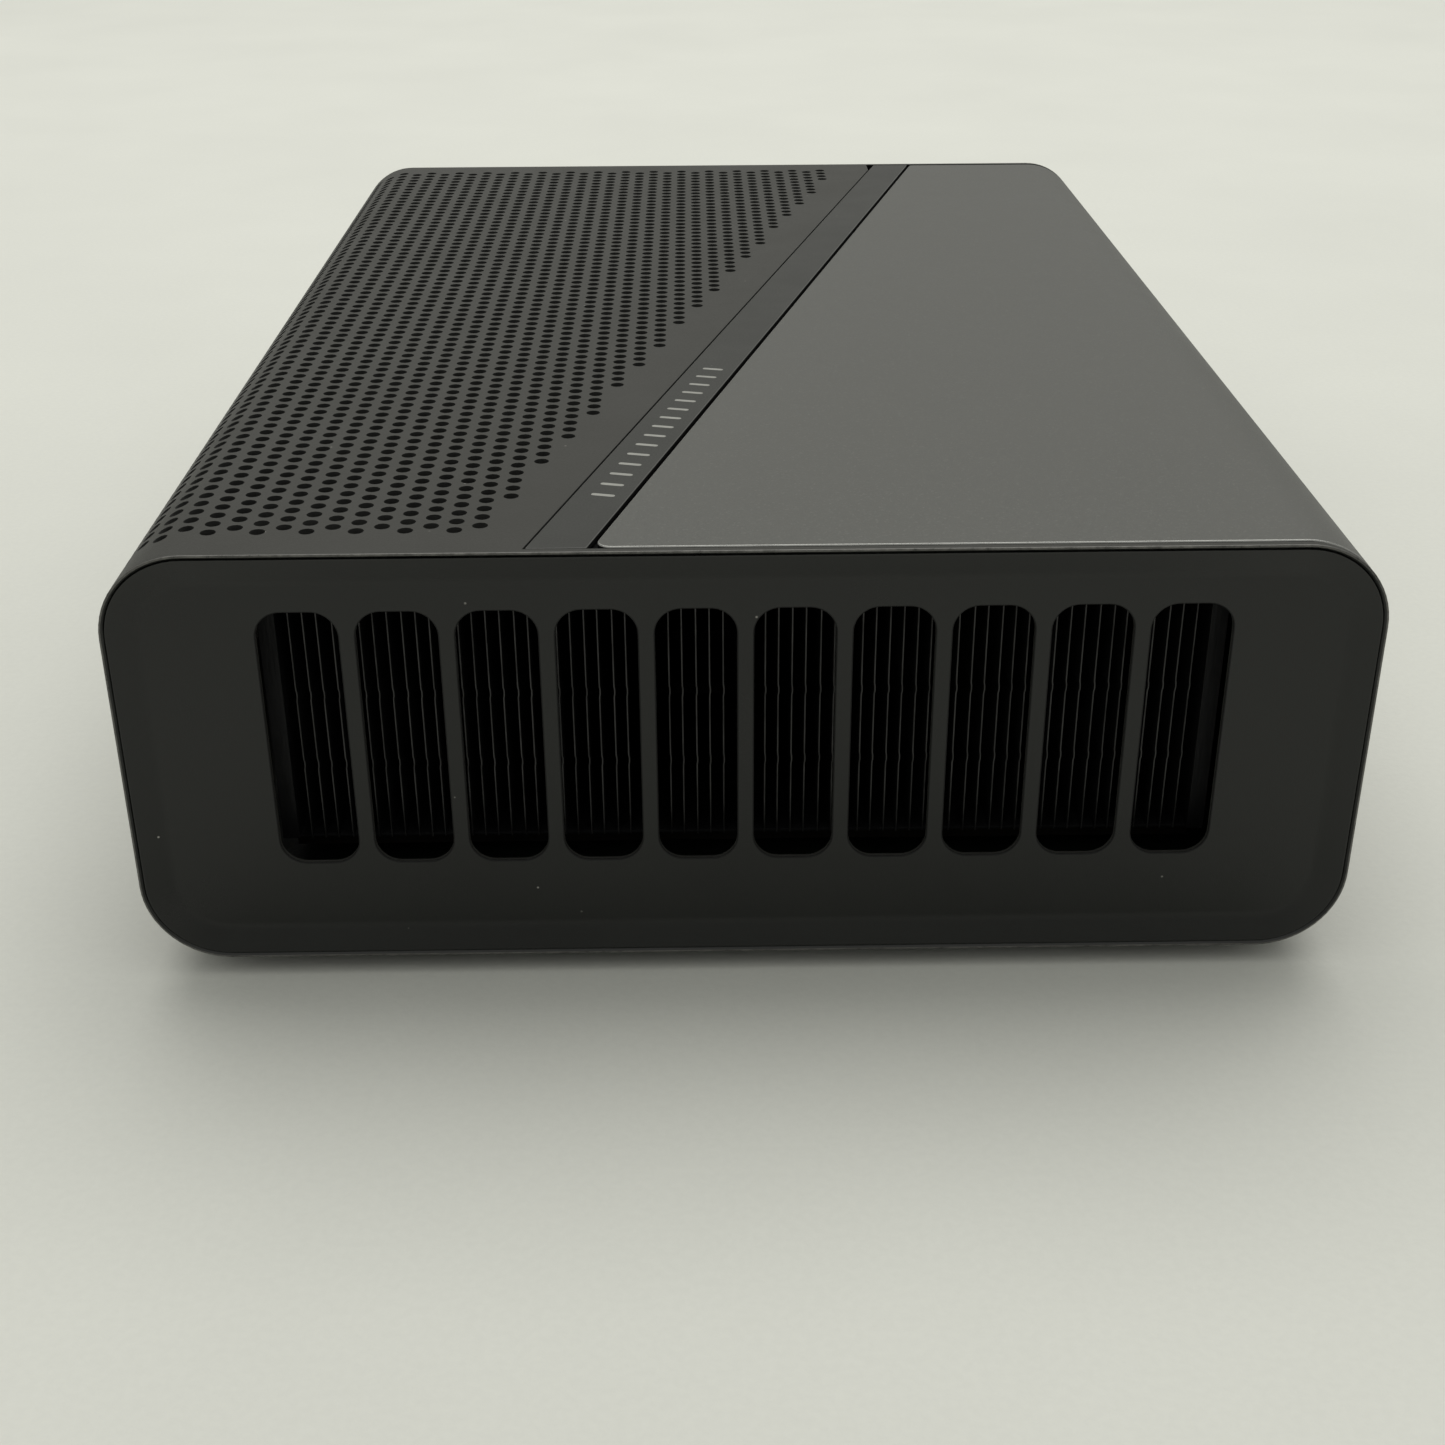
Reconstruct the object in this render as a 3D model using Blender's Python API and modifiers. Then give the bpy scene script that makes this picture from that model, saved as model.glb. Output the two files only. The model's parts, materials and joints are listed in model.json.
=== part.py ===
"""External graphics dock: a low rounded box that houses a laptop-class graphics card.

Air is drawn in through the top, and a blower pushes it out through fins at the front end.
Frame: metres, +Z up, the slotted exhaust end faces -Y, origin at the centre of the footprint
on the surface that the rubber feet stand on.
"""
import math

import bmesh
import bpy

MM = 0.001

# Housing
WIDTH = 110 * MM
DEPTH = 157 * MM
HOUSING_HEIGHT = 40 * MM
FOOT_HEIGHT = 2 * MM
CORNER_RADIUS = 7.7 * MM
WALL = 2 * MM
GAP = 0.3 * MM              # clearance kept between neighbouring pieces
LIP = 0.2 * MM              # sleeve edge left visible around the bezel and the rear panel
EDGE_CHAMFER = 0.15 * MM
ARC_STEPS = 6               # facets of each round corner of the housing
HOLE_STEPS = 12             # facets of screws and screw holes

# Diagonal trim on the top, in plan: x at the front end, and x gained per unit of depth
STRIP_LEFT_X = -18.8 * MM
PLATE_LEFT_X = -13.2 * MM
DIAGONAL = 0.272
TRIM_MARGIN = 0.85 * MM     # from the sleeve's ends to the trim pocket
POCKET_DEPTH = 0.8 * MM
TRIM_THICKNESS = 0.5 * MM
PLATE_SIDE_LENGTH = 24 * MM  # how far the plate runs down the side, measured from the top

# Front bezel
RIM_WIDTH = 2.6 * MM
DISH_DEPTH = 0.8 * MM
BEZEL_PANEL = 1.5 * MM
BEZEL_SKIRT = 4 * MM
SLOT_COUNT = 10
SLOT_PITCH = 8.54 * MM
SLOT_WIDTH = 7.05 * MM
SLOT_HEIGHT = 24.7 * MM
SLOT_RADIUS = 2.3 * MM
SLOT_CENTRE_Z = FOOT_HEIGHT + 21.95 * MM

# Rear panel
PANEL_THICKNESS = 2.3 * MM
BOSS_X = 49.6 * MM
BOSS_INSET_Z = 5.4 * MM
BOSS_RADIUS = 2.6 * MM
BOSS_LENGTH = 12 * MM

# Stack of the inside, as heights above the housing's bottom
BOARD_BOTTOM = 3.5 * MM
BOARD_THICKNESS = 1.6 * MM
CHAMBER_BOTTOM = 7.4 * MM
CHAMBER_THICKNESS = 1.5 * MM
FIN_BOTTOM = 9.2 * MM
FIN_TOP = 36.6 * MM
FAN_BOTTOM = 11.8 * MM
FAN_TOP = 35.4 * MM

# Fins
FIN_PITCH = 1.235 * MM
FIN_THICKNESS = 0.3 * MM
FIN_COUNT = 66
FIN_END_WALL = 1.5 * MM
FIN_FRONT = 6 * MM
FIN_LENGTH = 24 * MM

# Blower
FAN_FRONT = FIN_FRONT + FIN_LENGTH + GAP
FAN_HALF_WIDTH = 42 * MM
FAN_WALL = 1.2 * MM
ROTOR_X = -4 * MM
ROTOR_FROM_FRONT = 72 * MM
ROTOR_RADIUS = 34 * MM
HUB_RADIUS = 14 * MM
BLADE_COUNT = 33
SHAFT_RADIUS = 1.2 * MM

# Screws: head radius, head height, shaft radius
M2_SCREW = (2.0 * MM, 1.0 * MM, 1.0 * MM)
FOOT_RADIUS = 5 * MM
FOOT_RECESS = 0.8 * MM

HALF_W = WIDTH / 2
FRONT_Y = -DEPTH / 2
BACK_Y = DEPTH / 2
TOP_Z = FOOT_HEIGHT + HOUSING_HEIGHT
MID_Z = FOOT_HEIGHT + HOUSING_HEIGHT / 2
BOARD_TOP = BOARD_BOTTOM + BOARD_THICKNESS


def depth_y(distance):
    """Y of a point at this distance behind the front end."""
    return FRONT_Y + distance


def level(height):
    """Z of a point at this height above the housing's bottom."""
    return FOOT_HEIGHT + height


# ---------------------------------------------------------------- scene and materials

def clear_scene():
    for obj in list(bpy.data.objects):
        bpy.data.objects.remove(obj, do_unlink=True)


def new_collection(name):
    collection = bpy.data.collections.new(name)
    bpy.context.scene.collection.children.link(collection)
    return collection


def make_material(name, colour, roughness, metallic=0.0):
    material = bpy.data.materials.new(name)
    material.use_nodes = True
    shader = material.node_tree.nodes["Principled BSDF"]
    shader.inputs["Base Color"].default_value = (*colour, 1.0)
    shader.inputs["Roughness"].default_value = roughness
    shader.inputs["Metallic"].default_value = metallic
    return material


clear_scene()
PARTS = new_collection("graphics_dock")
CUTTERS = new_collection("cutters")

MATERIALS = {
    "shell": make_material("shell_paint", (0.070, 0.068, 0.062), 0.45, 0.3),
    "bezel": make_material("bezel_plastic", (0.022, 0.023, 0.022), 0.55),
    "plate": make_material("plate_aluminium", (0.130, 0.130, 0.130), 0.38, 0.8),
    "strip": make_material("strip_plastic", (0.055, 0.056, 0.052), 0.35),
    "panel": make_material("panel_plastic", (0.020, 0.020, 0.020), 0.50),
    "rubber": make_material("foot_rubber", (0.015, 0.015, 0.015), 0.85),
    "screw": make_material("screw_steel", (0.060, 0.060, 0.062), 0.35, 1.0),
    "brass": make_material("spacer_brass", (0.550, 0.400, 0.150), 0.35, 1.0),
    "board": make_material("board_laminate", (0.008, 0.018, 0.012), 0.45),
    "chip": make_material("chip_epoxy", (0.015, 0.015, 0.016), 0.40),
    "ferrite": make_material("choke_ferrite", (0.060, 0.060, 0.062), 0.65),
    "can": make_material("capacitor_can", (0.600, 0.600, 0.610), 0.30, 1.0),
    "copper": make_material("chamber_copper", (0.500, 0.220, 0.110), 0.35, 1.0),
    "fin": make_material("fin_aluminium", (0.180, 0.180, 0.185), 0.35, 1.0),
    "pad": make_material("pad_silicone", (0.250, 0.280, 0.330), 0.80),
    "steel": make_material("bracket_steel", (0.350, 0.350, 0.350), 0.35, 1.0),
    "fan": make_material("fan_plastic", (0.018, 0.018, 0.018), 0.50),
    "socket": make_material("socket_steel", (0.480, 0.480, 0.470), 0.30, 1.0),
    "insert": make_material("socket_insert", (0.012, 0.012, 0.012), 0.50),
    "light": make_material("light_pipe_resin", (0.700, 0.750, 0.750), 0.25),
}


# ---------------------------------------------------------------- modelling tools

def add_object(name, bm, material, collection):
    """Turn a bmesh into a named object with outward faces."""
    bmesh.ops.recalc_face_normals(bm, faces=bm.faces)
    mesh = bpy.data.meshes.new(name)
    bm.to_mesh(mesh)
    bm.free()
    obj = bpy.data.objects.new(name, mesh)
    collection.objects.link(obj)
    if material:
        mesh.materials.append(MATERIALS[material])
    return obj


def as_cutter(obj):
    """Make an object a tool for Boolean modifiers, not a part."""
    for collection in list(obj.users_collection):
        collection.objects.unlink(obj)
    CUTTERS.objects.link(obj)
    obj.display_type = "WIRE"
    obj.hide_render = True
    return obj


def boolean(target, tool, operation):
    modifier = target.modifiers.new(tool.name, "BOOLEAN")
    modifier.operation = operation
    modifier.object = as_cutter(tool)
    return target


def cut(target, *tools):
    for tool in tools:
        boolean(target, tool, "DIFFERENCE")
    return target


def fuse(target, *tools):
    for tool in tools:
        boolean(target, tool, "UNION")
    return target


def smooth(obj, degrees=35):
    obj.data.shade_smooth()
    obj.data.set_sharp_from_angle(angle=math.radians(degrees))
    return obj


def block(name, low, high, material=None):
    """Box between two corners."""
    bm = bmesh.new()
    bmesh.ops.create_cube(bm, size=1)
    size = [b - a for a, b in zip(low, high)]
    bmesh.ops.scale(bm, vec=size, verts=bm.verts)
    obj = add_object(name, bm, material, PARTS)
    obj.location = [(a + b) / 2 for a, b in zip(low, high)]
    return obj


def rod(name, centre, radius, length, axis="Z", material=None, steps=20):
    """Cylinder about its centre, along Z or Y."""
    bm = bmesh.new()
    bmesh.ops.create_cone(bm, cap_ends=True, segments=steps, radius1=radius, radius2=radius,
                          depth=length)
    obj = smooth(add_object(name, bm, material, PARTS))
    obj.location = centre
    if axis == "Y":
        obj.rotation_euler = (math.pi / 2, 0, 0)
    return obj


def prism(name, outline, start, end, axis="Y", material=None):
    """Flat outline pushed along Y (outline in X, Z) or along Z (outline in X, Y)."""
    bm = bmesh.new()
    if axis == "Y":
        ring = [bm.verts.new((u, start, v)) for u, v in outline]
        push = (0, end - start, 0)
    else:
        ring = [bm.verts.new((u, v, start)) for u, v in outline]
        push = (0, 0, end - start)
    face = bm.faces.new(ring)
    grown = bmesh.ops.extrude_face_region(bm, geom=[face])
    moved = [item for item in grown["geom"] if isinstance(item, bmesh.types.BMVert)]
    bmesh.ops.translate(bm, vec=push, verts=moved)
    return add_object(name, bm, material, PARTS)


def turned(name, profile, centre, axis="Z", material=None, steps=20):
    """Closed solid of revolution: profile points (radius, height) run from the top down."""
    bm = bmesh.new()
    points = [bm.verts.new((radius, 0, height)) for radius, height in profile]
    for first, second in zip(points, points[1:]):
        bm.edges.new((first, second))
    mesh = bpy.data.meshes.new(name)
    bm.to_mesh(mesh)
    bm.free()
    obj = bpy.data.objects.new(name, mesh)
    PARTS.objects.link(obj)
    if material:
        mesh.materials.append(MATERIALS[material])
    spin = obj.modifiers.new("turn", "SCREW")
    spin.steps = steps
    spin.render_steps = steps
    spin.use_merge_vertices = True
    spin.merge_threshold = 0.00001
    spin.use_smooth_shade = False
    obj.location = centre
    if axis == "Y":
        obj.rotation_euler = (-math.pi / 2, 0, 0)
    return obj


def rounded_outline(width, height, radius, centre=(0, 0), steps=ARC_STEPS):
    """Rectangle with round corners, as points in order round it."""
    radius = min(radius, 0.49 * width, 0.49 * height)
    points = []
    corners = ((1, 1, 0), (-1, 1, 90), (-1, -1, 180), (1, -1, 270))
    for side_u, side_v, start in corners:
        cu = centre[0] + side_u * (width / 2 - radius)
        cv = centre[1] + side_v * (height / 2 - radius)
        for step in range(steps + 1):
            angle = math.radians(start + 90 * step / steps)
            points.append((cu + radius * math.cos(angle), cv + radius * math.sin(angle)))
    return points


def housing_outline(inset):
    """The housing's cross-section, offset inwards."""
    return rounded_outline(WIDTH - 2 * inset, HOUSING_HEIGHT - 2 * inset,
                           CORNER_RADIUS - inset, (0, MID_Z))


def stacked(name, sections, material=None):
    """Solid through housing outlines: sections are (y, inset) from front to back."""
    bm = bmesh.new()
    rings = []
    for y, inset in sections:
        rings.append([bm.verts.new((x, y, z)) for x, z in housing_outline(inset)])
    for near, far in zip(rings, rings[1:]):
        count = len(near)
        for index in range(count):
            after = (index + 1) % count
            bm.faces.new((near[index], near[after], far[after], far[index]))
    bm.faces.new(rings[0])
    bm.faces.new(list(reversed(rings[-1])))
    return add_object(name, bm, material, PARTS)


def screw(name, centre, axis_sign, length, axis="Z", material="screw"):
    """Pan-head screw. Its head's underside is at centre, and its shaft points along axis_sign."""
    head_radius, head_height, shaft_radius = M2_SCREW
    top, bottom = head_height, -length
    profile = [(0, top), (head_radius - 0.3 * MM, top), (head_radius, top - 0.3 * MM),
               (head_radius, 0), (shaft_radius, 0), (shaft_radius, bottom), (0, bottom)]
    obj = turned(name, profile, centre, "Z", material, steps=HOLE_STEPS)
    if axis == "Z" and axis_sign > 0:
        obj.rotation_euler = (math.pi, 0, 0)
    if axis == "Y":
        obj.rotation_euler = (axis_sign * math.pi / 2, 0, 0)
    return obj


# ---------------------------------------------------------------- housing

def boss_places():
    """Screw places in the four corners of the cross-section."""
    for side in (-1, 1):
        for z in (FOOT_HEIGHT + BOSS_INSET_Z, TOP_Z - BOSS_INSET_Z):
            yield side * BOSS_X, z


def foot_places():
    for label_y, y in (("front", FRONT_Y + 18 * MM), ("rear", BACK_Y - 18 * MM)):
        for label_x, x in (("left", -40 * MM), ("right", 40 * MM)):
            yield f"foot_{label_y}_{label_x}", x, y


def base_screw_places():
    for y in (depth_y(34 * MM), depth_y(122 * MM)):
        for x in (-42 * MM, 42 * MM):
            yield x, y


def trim_section(outer, inner, left_x, side_length):
    """Cross-section of a skin that follows the top, the right edge and the right side."""
    def path(offset):
        radius = CORNER_RADIUS - offset
        cx, cz = HALF_W - CORNER_RADIUS, TOP_Z - CORNER_RADIUS
        points = [(left_x, TOP_Z - offset)]
        for step in range(ARC_STEPS + 1):
            angle = math.radians(90 - 90 * step / ARC_STEPS)
            points.append((cx + radius * math.cos(angle), cz + radius * math.sin(angle)))
        points.append((HALF_W - offset, TOP_Z - side_length))
        return points
    return path(outer) + list(reversed(path(inner)))


def left_of_diagonal(name, edge_x):
    """Block that covers everything to the left of a diagonal line in plan."""
    far_left = -2 * WIDTH
    front, back = FRONT_Y - WALL, BACK_Y + WALL
    outline = [(far_left, front), (edge_x - DIAGONAL * WALL, front),
               (edge_x + DIAGONAL * (DEPTH + WALL), back), (far_left, back)]
    return prism(name, outline, 0, 2 * TOP_Z, "Z")


def make_sleeve():
    sleeve = stacked("outer_sleeve", [
        (FRONT_Y, EDGE_CHAMFER), (FRONT_Y + EDGE_CHAMFER, 0),
        (BACK_Y - EDGE_CHAMFER, 0), (BACK_Y, EDGE_CHAMFER)], "shell")
    seat = WALL - LIP
    overshoot = LIP / 2
    cavity = stacked("sleeve_cavity", [
        (FRONT_Y - overshoot, LIP - overshoot), (FRONT_Y + seat, WALL),
        (BACK_Y - seat, WALL), (BACK_Y + overshoot, LIP - overshoot)])
    cut(sleeve, cavity)

    pocket_start, pocket_end = FRONT_Y + TRIM_MARGIN, BACK_Y - TRIM_MARGIN
    section = trim_section(-WALL, POCKET_DEPTH, STRIP_LEFT_X - WALL, PLATE_SIDE_LENGTH + GAP)
    pocket = prism("trim_pocket", section, pocket_start, pocket_end)
    cut(pocket, left_of_diagonal("pocket_edge", STRIP_LEFT_X - GAP))
    cut(sleeve, pocket)

    boss_end = BACK_Y - PANEL_THICKNESS - 2 * GAP
    for index, (x, z) in enumerate(boss_places()):
        boss = rod(f"boss_{index}", (x, boss_end - BOSS_LENGTH / 2, z), BOSS_RADIUS,
                   BOSS_LENGTH, "Y")
        fuse(sleeve, boss)
        bore = rod(f"boss_bore_{index}", (x, boss_end - BOSS_LENGTH / 2 + 2 * MM, z),
                   M2_SCREW[2] + GAP, BOSS_LENGTH, "Y", steps=HOLE_STEPS)
        cut(sleeve, bore)

    for name, x, y in foot_places():
        recess = rod(f"{name}_recess", (x, y, FOOT_HEIGHT), FOOT_RADIUS + GAP,
                     2 * FOOT_RECESS, steps=24)
        cut(sleeve, recess)
    for index, (x, y) in enumerate(base_screw_places()):
        hole = rod(f"base_hole_{index}", (x, y, level(0)), M2_SCREW[2] + GAP, 3 * WALL, steps=HOLE_STEPS)
        sink = rod(f"base_sink_{index}", (x, y, level(0)), M2_SCREW[0] + GAP, 2.6 * MM, steps=HOLE_STEPS)
        cut(sleeve, hole, sink)
    for index in range(9):
        x = (index - 4) * 6 * MM
        outline = rounded_outline(2.4 * MM, 26 * MM, 1.2 * MM, (x, depth_y(118 * MM)), 2)
        cut(sleeve, prism(f"base_vent_{index}", outline, level(-WALL), level(1.5 * WALL), "Z"))
    return sleeve


def make_bezel():
    edge = LIP + GAP
    seat = WALL + GAP - edge
    front = FRONT_Y + 0.1 * MM
    bezel = stacked("front_bezel", [(front, edge), (front + seat, WALL + GAP),
                                    (FRONT_Y + BEZEL_SKIRT, WALL + GAP)], "bezel")
    rim = edge + 0.2 * MM
    slope = (RIM_WIDTH - rim) / DISH_DEPTH
    overshoot = 0.1 * MM
    dish = stacked("bezel_dish", [
        (front - overshoot, rim - slope * overshoot), (front + DISH_DEPTH, RIM_WIDTH)])
    panel_back = front + DISH_DEPTH + BEZEL_PANEL
    hollow = stacked("bezel_hollow", [(panel_back, WALL + 1.5 * MM),
                                      (FRONT_Y + 2 * BEZEL_SKIRT, WALL + 1.5 * MM)])
    cut(bezel, dish, hollow)
    for index in range(SLOT_COUNT):
        x = (index - (SLOT_COUNT - 1) / 2) * SLOT_PITCH
        outline = rounded_outline(SLOT_WIDTH, SLOT_HEIGHT, SLOT_RADIUS, (x, SLOT_CENTRE_Z), 5)
        cut(bezel, prism(f"slot_{index}", outline, FRONT_Y - WALL, FRONT_Y + 2 * BEZEL_SKIRT))
    return bezel


def make_trim():
    """The metal plate that wraps the right edge, and the strip beside it."""
    start, end = FRONT_Y + TRIM_MARGIN + GAP, BACK_Y - TRIM_MARGIN - GAP
    section = trim_section(0, TRIM_THICKNESS, STRIP_LEFT_X - WALL, PLATE_SIDE_LENGTH)
    plate = prism("inlay_plate", section, start, end, "Y", "plate")
    cut(plate, left_of_diagonal("plate_edge", PLATE_LEFT_X))

    right_x = PLATE_LEFT_X - 1.5 * GAP
    first, last = start - FRONT_Y, end - FRONT_Y
    outline = [(STRIP_LEFT_X + DIAGONAL * first, start), (right_x + DIAGONAL * first, start),
               (right_x + DIAGONAL * last, end), (STRIP_LEFT_X + DIAGONAL * last, end)]
    prism("diagonal_strip", outline, TOP_Z - TRIM_THICKNESS, TOP_Z, "Z", "strip")


def make_feet():
    profile = [(0, FOOT_HEIGHT + FOOT_RECESS - GAP), (FOOT_RADIUS, FOOT_HEIGHT + FOOT_RECESS - GAP),
               (FOOT_RADIUS, 0.6 * MM), (FOOT_RADIUS - 0.6 * MM, 0), (0, 0)]
    for name, x, y in foot_places():
        turned(name, profile, (x, y, 0), "Z", "rubber", steps=24)


# ---------------------------------------------------------------- rear panel and its sockets

# Each socket: centre x, centre height above the board, width, height, corner radius
SOCKETS = {
    "displayport_stack": [(-37.4 * MM, 3.6 * MM, 17.0 * MM, 6.0 * MM, 0.6 * MM),
                          (-37.4 * MM, 14.6 * MM, 17.0 * MM, 6.0 * MM, 0.6 * MM)],
    "hdmi_stack": [(-19.2 * MM, 3.6 * MM, 15.2 * MM, 6.0 * MM, 0.8 * MM),
                   (-19.2 * MM, 14.6 * MM, 15.2 * MM, 6.0 * MM, 0.8 * MM)],
    "usb_c_socket": [(-4.8 * MM, 2.4 * MM, 9.0 * MM, 3.3 * MM, 1.6 * MM)],
    "oculink_socket": [(10.4 * MM, 3.4 * MM, 14.6 * MM, 5.6 * MM, 0.5 * MM)],
}
SOCKET_WALL = 0.4 * MM
SOCKET_DEPTH = 8 * MM
SOCKET_FRONT = BACK_Y - 0.6 * MM
SOCKET_LENGTH = 15 * MM
INLET = (27.2 * MM, 6.0 * MM, 5.4 * MM)          # x, height above the board, outer radius
BUTTON = (42.8 * MM, 5.4 * MM, 3.2 * MM)
LIGHT = (36.0 * MM, 5.4 * MM, 1.1 * MM)
BUTTON_TRAVEL = 0.5 * MM


def on_board(height):
    return level(BOARD_TOP) + height


def make_rear_panel():
    edge = LIP + GAP
    seat = WALL + GAP - edge
    outer = BACK_Y - 0.1 * MM
    panel = stacked("rear_panel", [(outer - PANEL_THICKNESS, WALL + GAP),
                                   (outer - seat, WALL + GAP), (outer, edge)], "panel")
    through = (outer - 2 * PANEL_THICKNESS, outer + PANEL_THICKNESS)
    for name, mouths in SOCKETS.items():
        for index, (x, height, width, tall, radius) in enumerate(mouths):
            outline = rounded_outline(width + 2 * GAP, tall + 2 * GAP, radius + GAP,
                                      (x, on_board(height)), 3)
            cut(panel, prism(f"{name}_cutout_{index}", outline, *through))
    for label, (x, height, radius) in (("inlet", INLET), ("button", BUTTON), ("light", LIGHT)):
        cut(panel, rod(f"{label}_hole", (x, outer, on_board(height)), radius + GAP,
                       4 * PANEL_THICKNESS, "Y", steps=20))
    for index in range(10):
        x = 6 * MM + index * 4.0 * MM
        outline = rounded_outline(2.0 * MM, 12 * MM, 1.0 * MM, (x, level(27 * MM)), 2)
        cut(panel, prism(f"rear_vent_{index}", outline, *through))
    for index, (x, z) in enumerate(boss_places()):
        cut(panel, rod(f"panel_hole_{index}", (x, outer, z), M2_SCREW[2] + GAP,
                       4 * PANEL_THICKNESS, "Y", steps=HOLE_STEPS))
        cut(panel, rod(f"panel_sink_{index}", (x, outer, z), M2_SCREW[0] + GAP,
                       2.4 * MM, "Y", steps=HOLE_STEPS))
        screw(f"rear_screw_{index + 1}", (x, outer - 1.2 * MM + GAP, z), -1, 8 * MM, "Y")


def make_socket(name, mouths):
    """Metal shell with one or two mouths, each with a tongue down its middle."""
    back = SOCKET_FRONT - SOCKET_LENGTH
    lowest = min(height - tall / 2 for x, height, width, tall, radius in mouths)
    widest = max(width for x, height, width, tall, radius in mouths)
    body = None
    for index, (x, height, width, tall, radius) in enumerate(mouths):
        label = name if body is None else f"{name}_{index}"
        outline = rounded_outline(width, tall, radius, (x, on_board(height)), 3)
        shell = prism(label, outline, back, SOCKET_FRONT, "Y", "socket")
        if body is None:
            body = shell
        else:
            fuse(body, shell)
            spine_low = on_board(mouths[0][1])
            spine = block(f"{name}_spine", (x - widest / 2 + radius, back, spine_low),
                          (x + widest / 2 - radius, back + 5 * MM, on_board(height)))
            fuse(body, spine)
    if lowest > 2 * GAP:
        x, height, width, tall, radius = mouths[0]
        legs = block(f"{name}_legs", (x - width / 2 + 1 * MM, back, on_board(GAP)),
                     (x + width / 2 - 1 * MM, back + 9 * MM, on_board(height)))
        fuse(body, legs)
    for index, (x, height, width, tall, radius) in enumerate(mouths):
        inner = rounded_outline(width - 2 * SOCKET_WALL, tall - 2 * SOCKET_WALL,
                                radius - SOCKET_WALL / 2, (x, on_board(height)), 3)
        tongue_half = tall / 8
        tongue = block(f"{name}_tongue_{index}",
                       (x - width / 3, SOCKET_FRONT - SOCKET_DEPTH - MM, on_board(height) - tongue_half),
                       (x + width / 3, SOCKET_FRONT - 1 * MM, on_board(height) + tongue_half))
        cut(body, prism(f"{name}_mouth_{index}", inner, SOCKET_FRONT - SOCKET_DEPTH,
                        SOCKET_FRONT + MM))
        fuse(body, tongue)
    return body


def make_inlet():
    """Round power inlet with its centre pin."""
    x, height, radius = INLET
    z = on_board(height)
    back = SOCKET_FRONT - SOCKET_LENGTH
    inlet = rod("dc_inlet", (x, (back + SOCKET_FRONT) / 2, z), radius, SOCKET_LENGTH, "Y",
                "insert", 24)
    foot = block("inlet_foot", (x - radius, back, on_board(GAP)),
                 (x + radius, back + 11 * MM, z))
    bore = rod("inlet_bore", (x, SOCKET_FRONT, z), 3.3 * MM, 20 * MM, "Y", steps=24)
    pin = rod("inlet_pin", (x, SOCKET_FRONT - 7 * MM, z), 1.0 * MM, 11 * MM, "Y", steps=12)
    fuse(inlet, foot)
    cut(inlet, bore)
    fuse(inlet, pin)


def make_button():
    """Push button, the switch behind it, and the light pipe beside it."""
    x, height, radius = BUTTON
    z = on_board(height)
    outer = BACK_Y - 0.1 * MM
    inner = outer - PANEL_THICKNESS - GAP
    flange = inner - 1.0 * MM
    profile = [(0, outer + 0.1 * MM - flange), (radius - 0.4 * MM, outer + 0.1 * MM - flange),
               (radius, outer - 0.3 * MM - flange), (radius, inner - flange),
               (radius + 0.5 * MM, inner - flange), (radius + 0.5 * MM, 0), (0, 0)]
    button = turned("power_button", profile, (x, flange, z), "Y", "panel", 28)

    plunger_end = flange - BUTTON_TRAVEL - GAP
    switch = block("tact_switch", (x - 2.2 * MM, plunger_end - 5 * MM, on_board(GAP)),
                   (x + 2.2 * MM, plunger_end - 1.2 * MM, z + 1.5 * MM), "insert")
    plunger = rod("switch_plunger", (x, plunger_end - 1.2 * MM, z), 1.0 * MM, 2.4 * MM, "Y")
    fuse(switch, plunger)

    lx, light_height, light_radius = LIGHT
    lz = on_board(light_height)
    pipe = rod("status_light_pipe", (lx, outer - 5 * MM, lz), light_radius, 10 * MM, "Y",
               "light", 16)
    leg = block("light_leg", (lx - 0.7 * MM, outer - 9.6 * MM, on_board(GAP)),
                (lx + 0.7 * MM, outer - 7.4 * MM, lz))
    fuse(pipe, leg)
    return button


# ---------------------------------------------------------------- board

CHIP_BASE = 0.3 * MM
GPU_Y = 62 * MM
COOLER_SCREW_X = 24 * MM
COOLER_SCREW_DEPTHS = (38 * MM, 86 * MM)


def cooler_screw_places():
    for distance in COOLER_SCREW_DEPTHS:
        for x in (-COOLER_SCREW_X, COOLER_SCREW_X):
            yield x, depth_y(distance)


def make_board():
    low = (-46.4 * MM, depth_y(9 * MM), level(BOARD_BOTTOM))
    high = (46.4 * MM, depth_y(151.5 * MM), level(BOARD_TOP))
    board = block("main_board", low, high, "board")
    holes = list(base_screw_places()) + list(cooler_screw_places())
    for index, (x, y) in enumerate(holes):
        cut(board, rod(f"board_hole_{index}", (x, y, level(BOARD_BOTTOM)), M2_SCREW[2] + GAP,
                       4 * BOARD_THICKNESS, steps=HOLE_STEPS))


def make_chips():
    y = depth_y(GPU_Y)
    half = 17.5 * MM
    package = block("gpu_package", (-half, y - half, on_board(CHIP_BASE)),
                    (half, y + half, on_board(1.2 * MM)), "chip")
    die = block("gpu_die", (-9 * MM, y - 8 * MM, on_board(1.0 * MM)),
                (9 * MM, y + 8 * MM, level(CHAMBER_BOTTOM) - GAP))
    fuse(package, die)
    number = 1
    for x in (-28 * MM, 28 * MM):
        for offset in (-10 * MM, 10 * MM):
            block(f"memory_chip_{number}",
                  (x - 6 * MM, y + offset - 7 * MM, on_board(CHIP_BASE)),
                  (x + 6 * MM, y + offset + 7 * MM, on_board(1.1 * MM)), "chip")
            number += 1
    for label, x in (("left", -28 * MM), ("right", 28 * MM)):
        block(f"thermal_pad_{label}", (x - 5.5 * MM, y - 16 * MM, on_board(1.4 * MM)),
              (x + 5.5 * MM, y + 16 * MM, level(CHAMBER_BOTTOM) - GAP), "pad")
    block("link_controller", (-36 * MM, depth_y(118 * MM), on_board(CHIP_BASE)),
          (-20 * MM, depth_y(134 * MM), on_board(1.5 * MM)), "chip")


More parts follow.
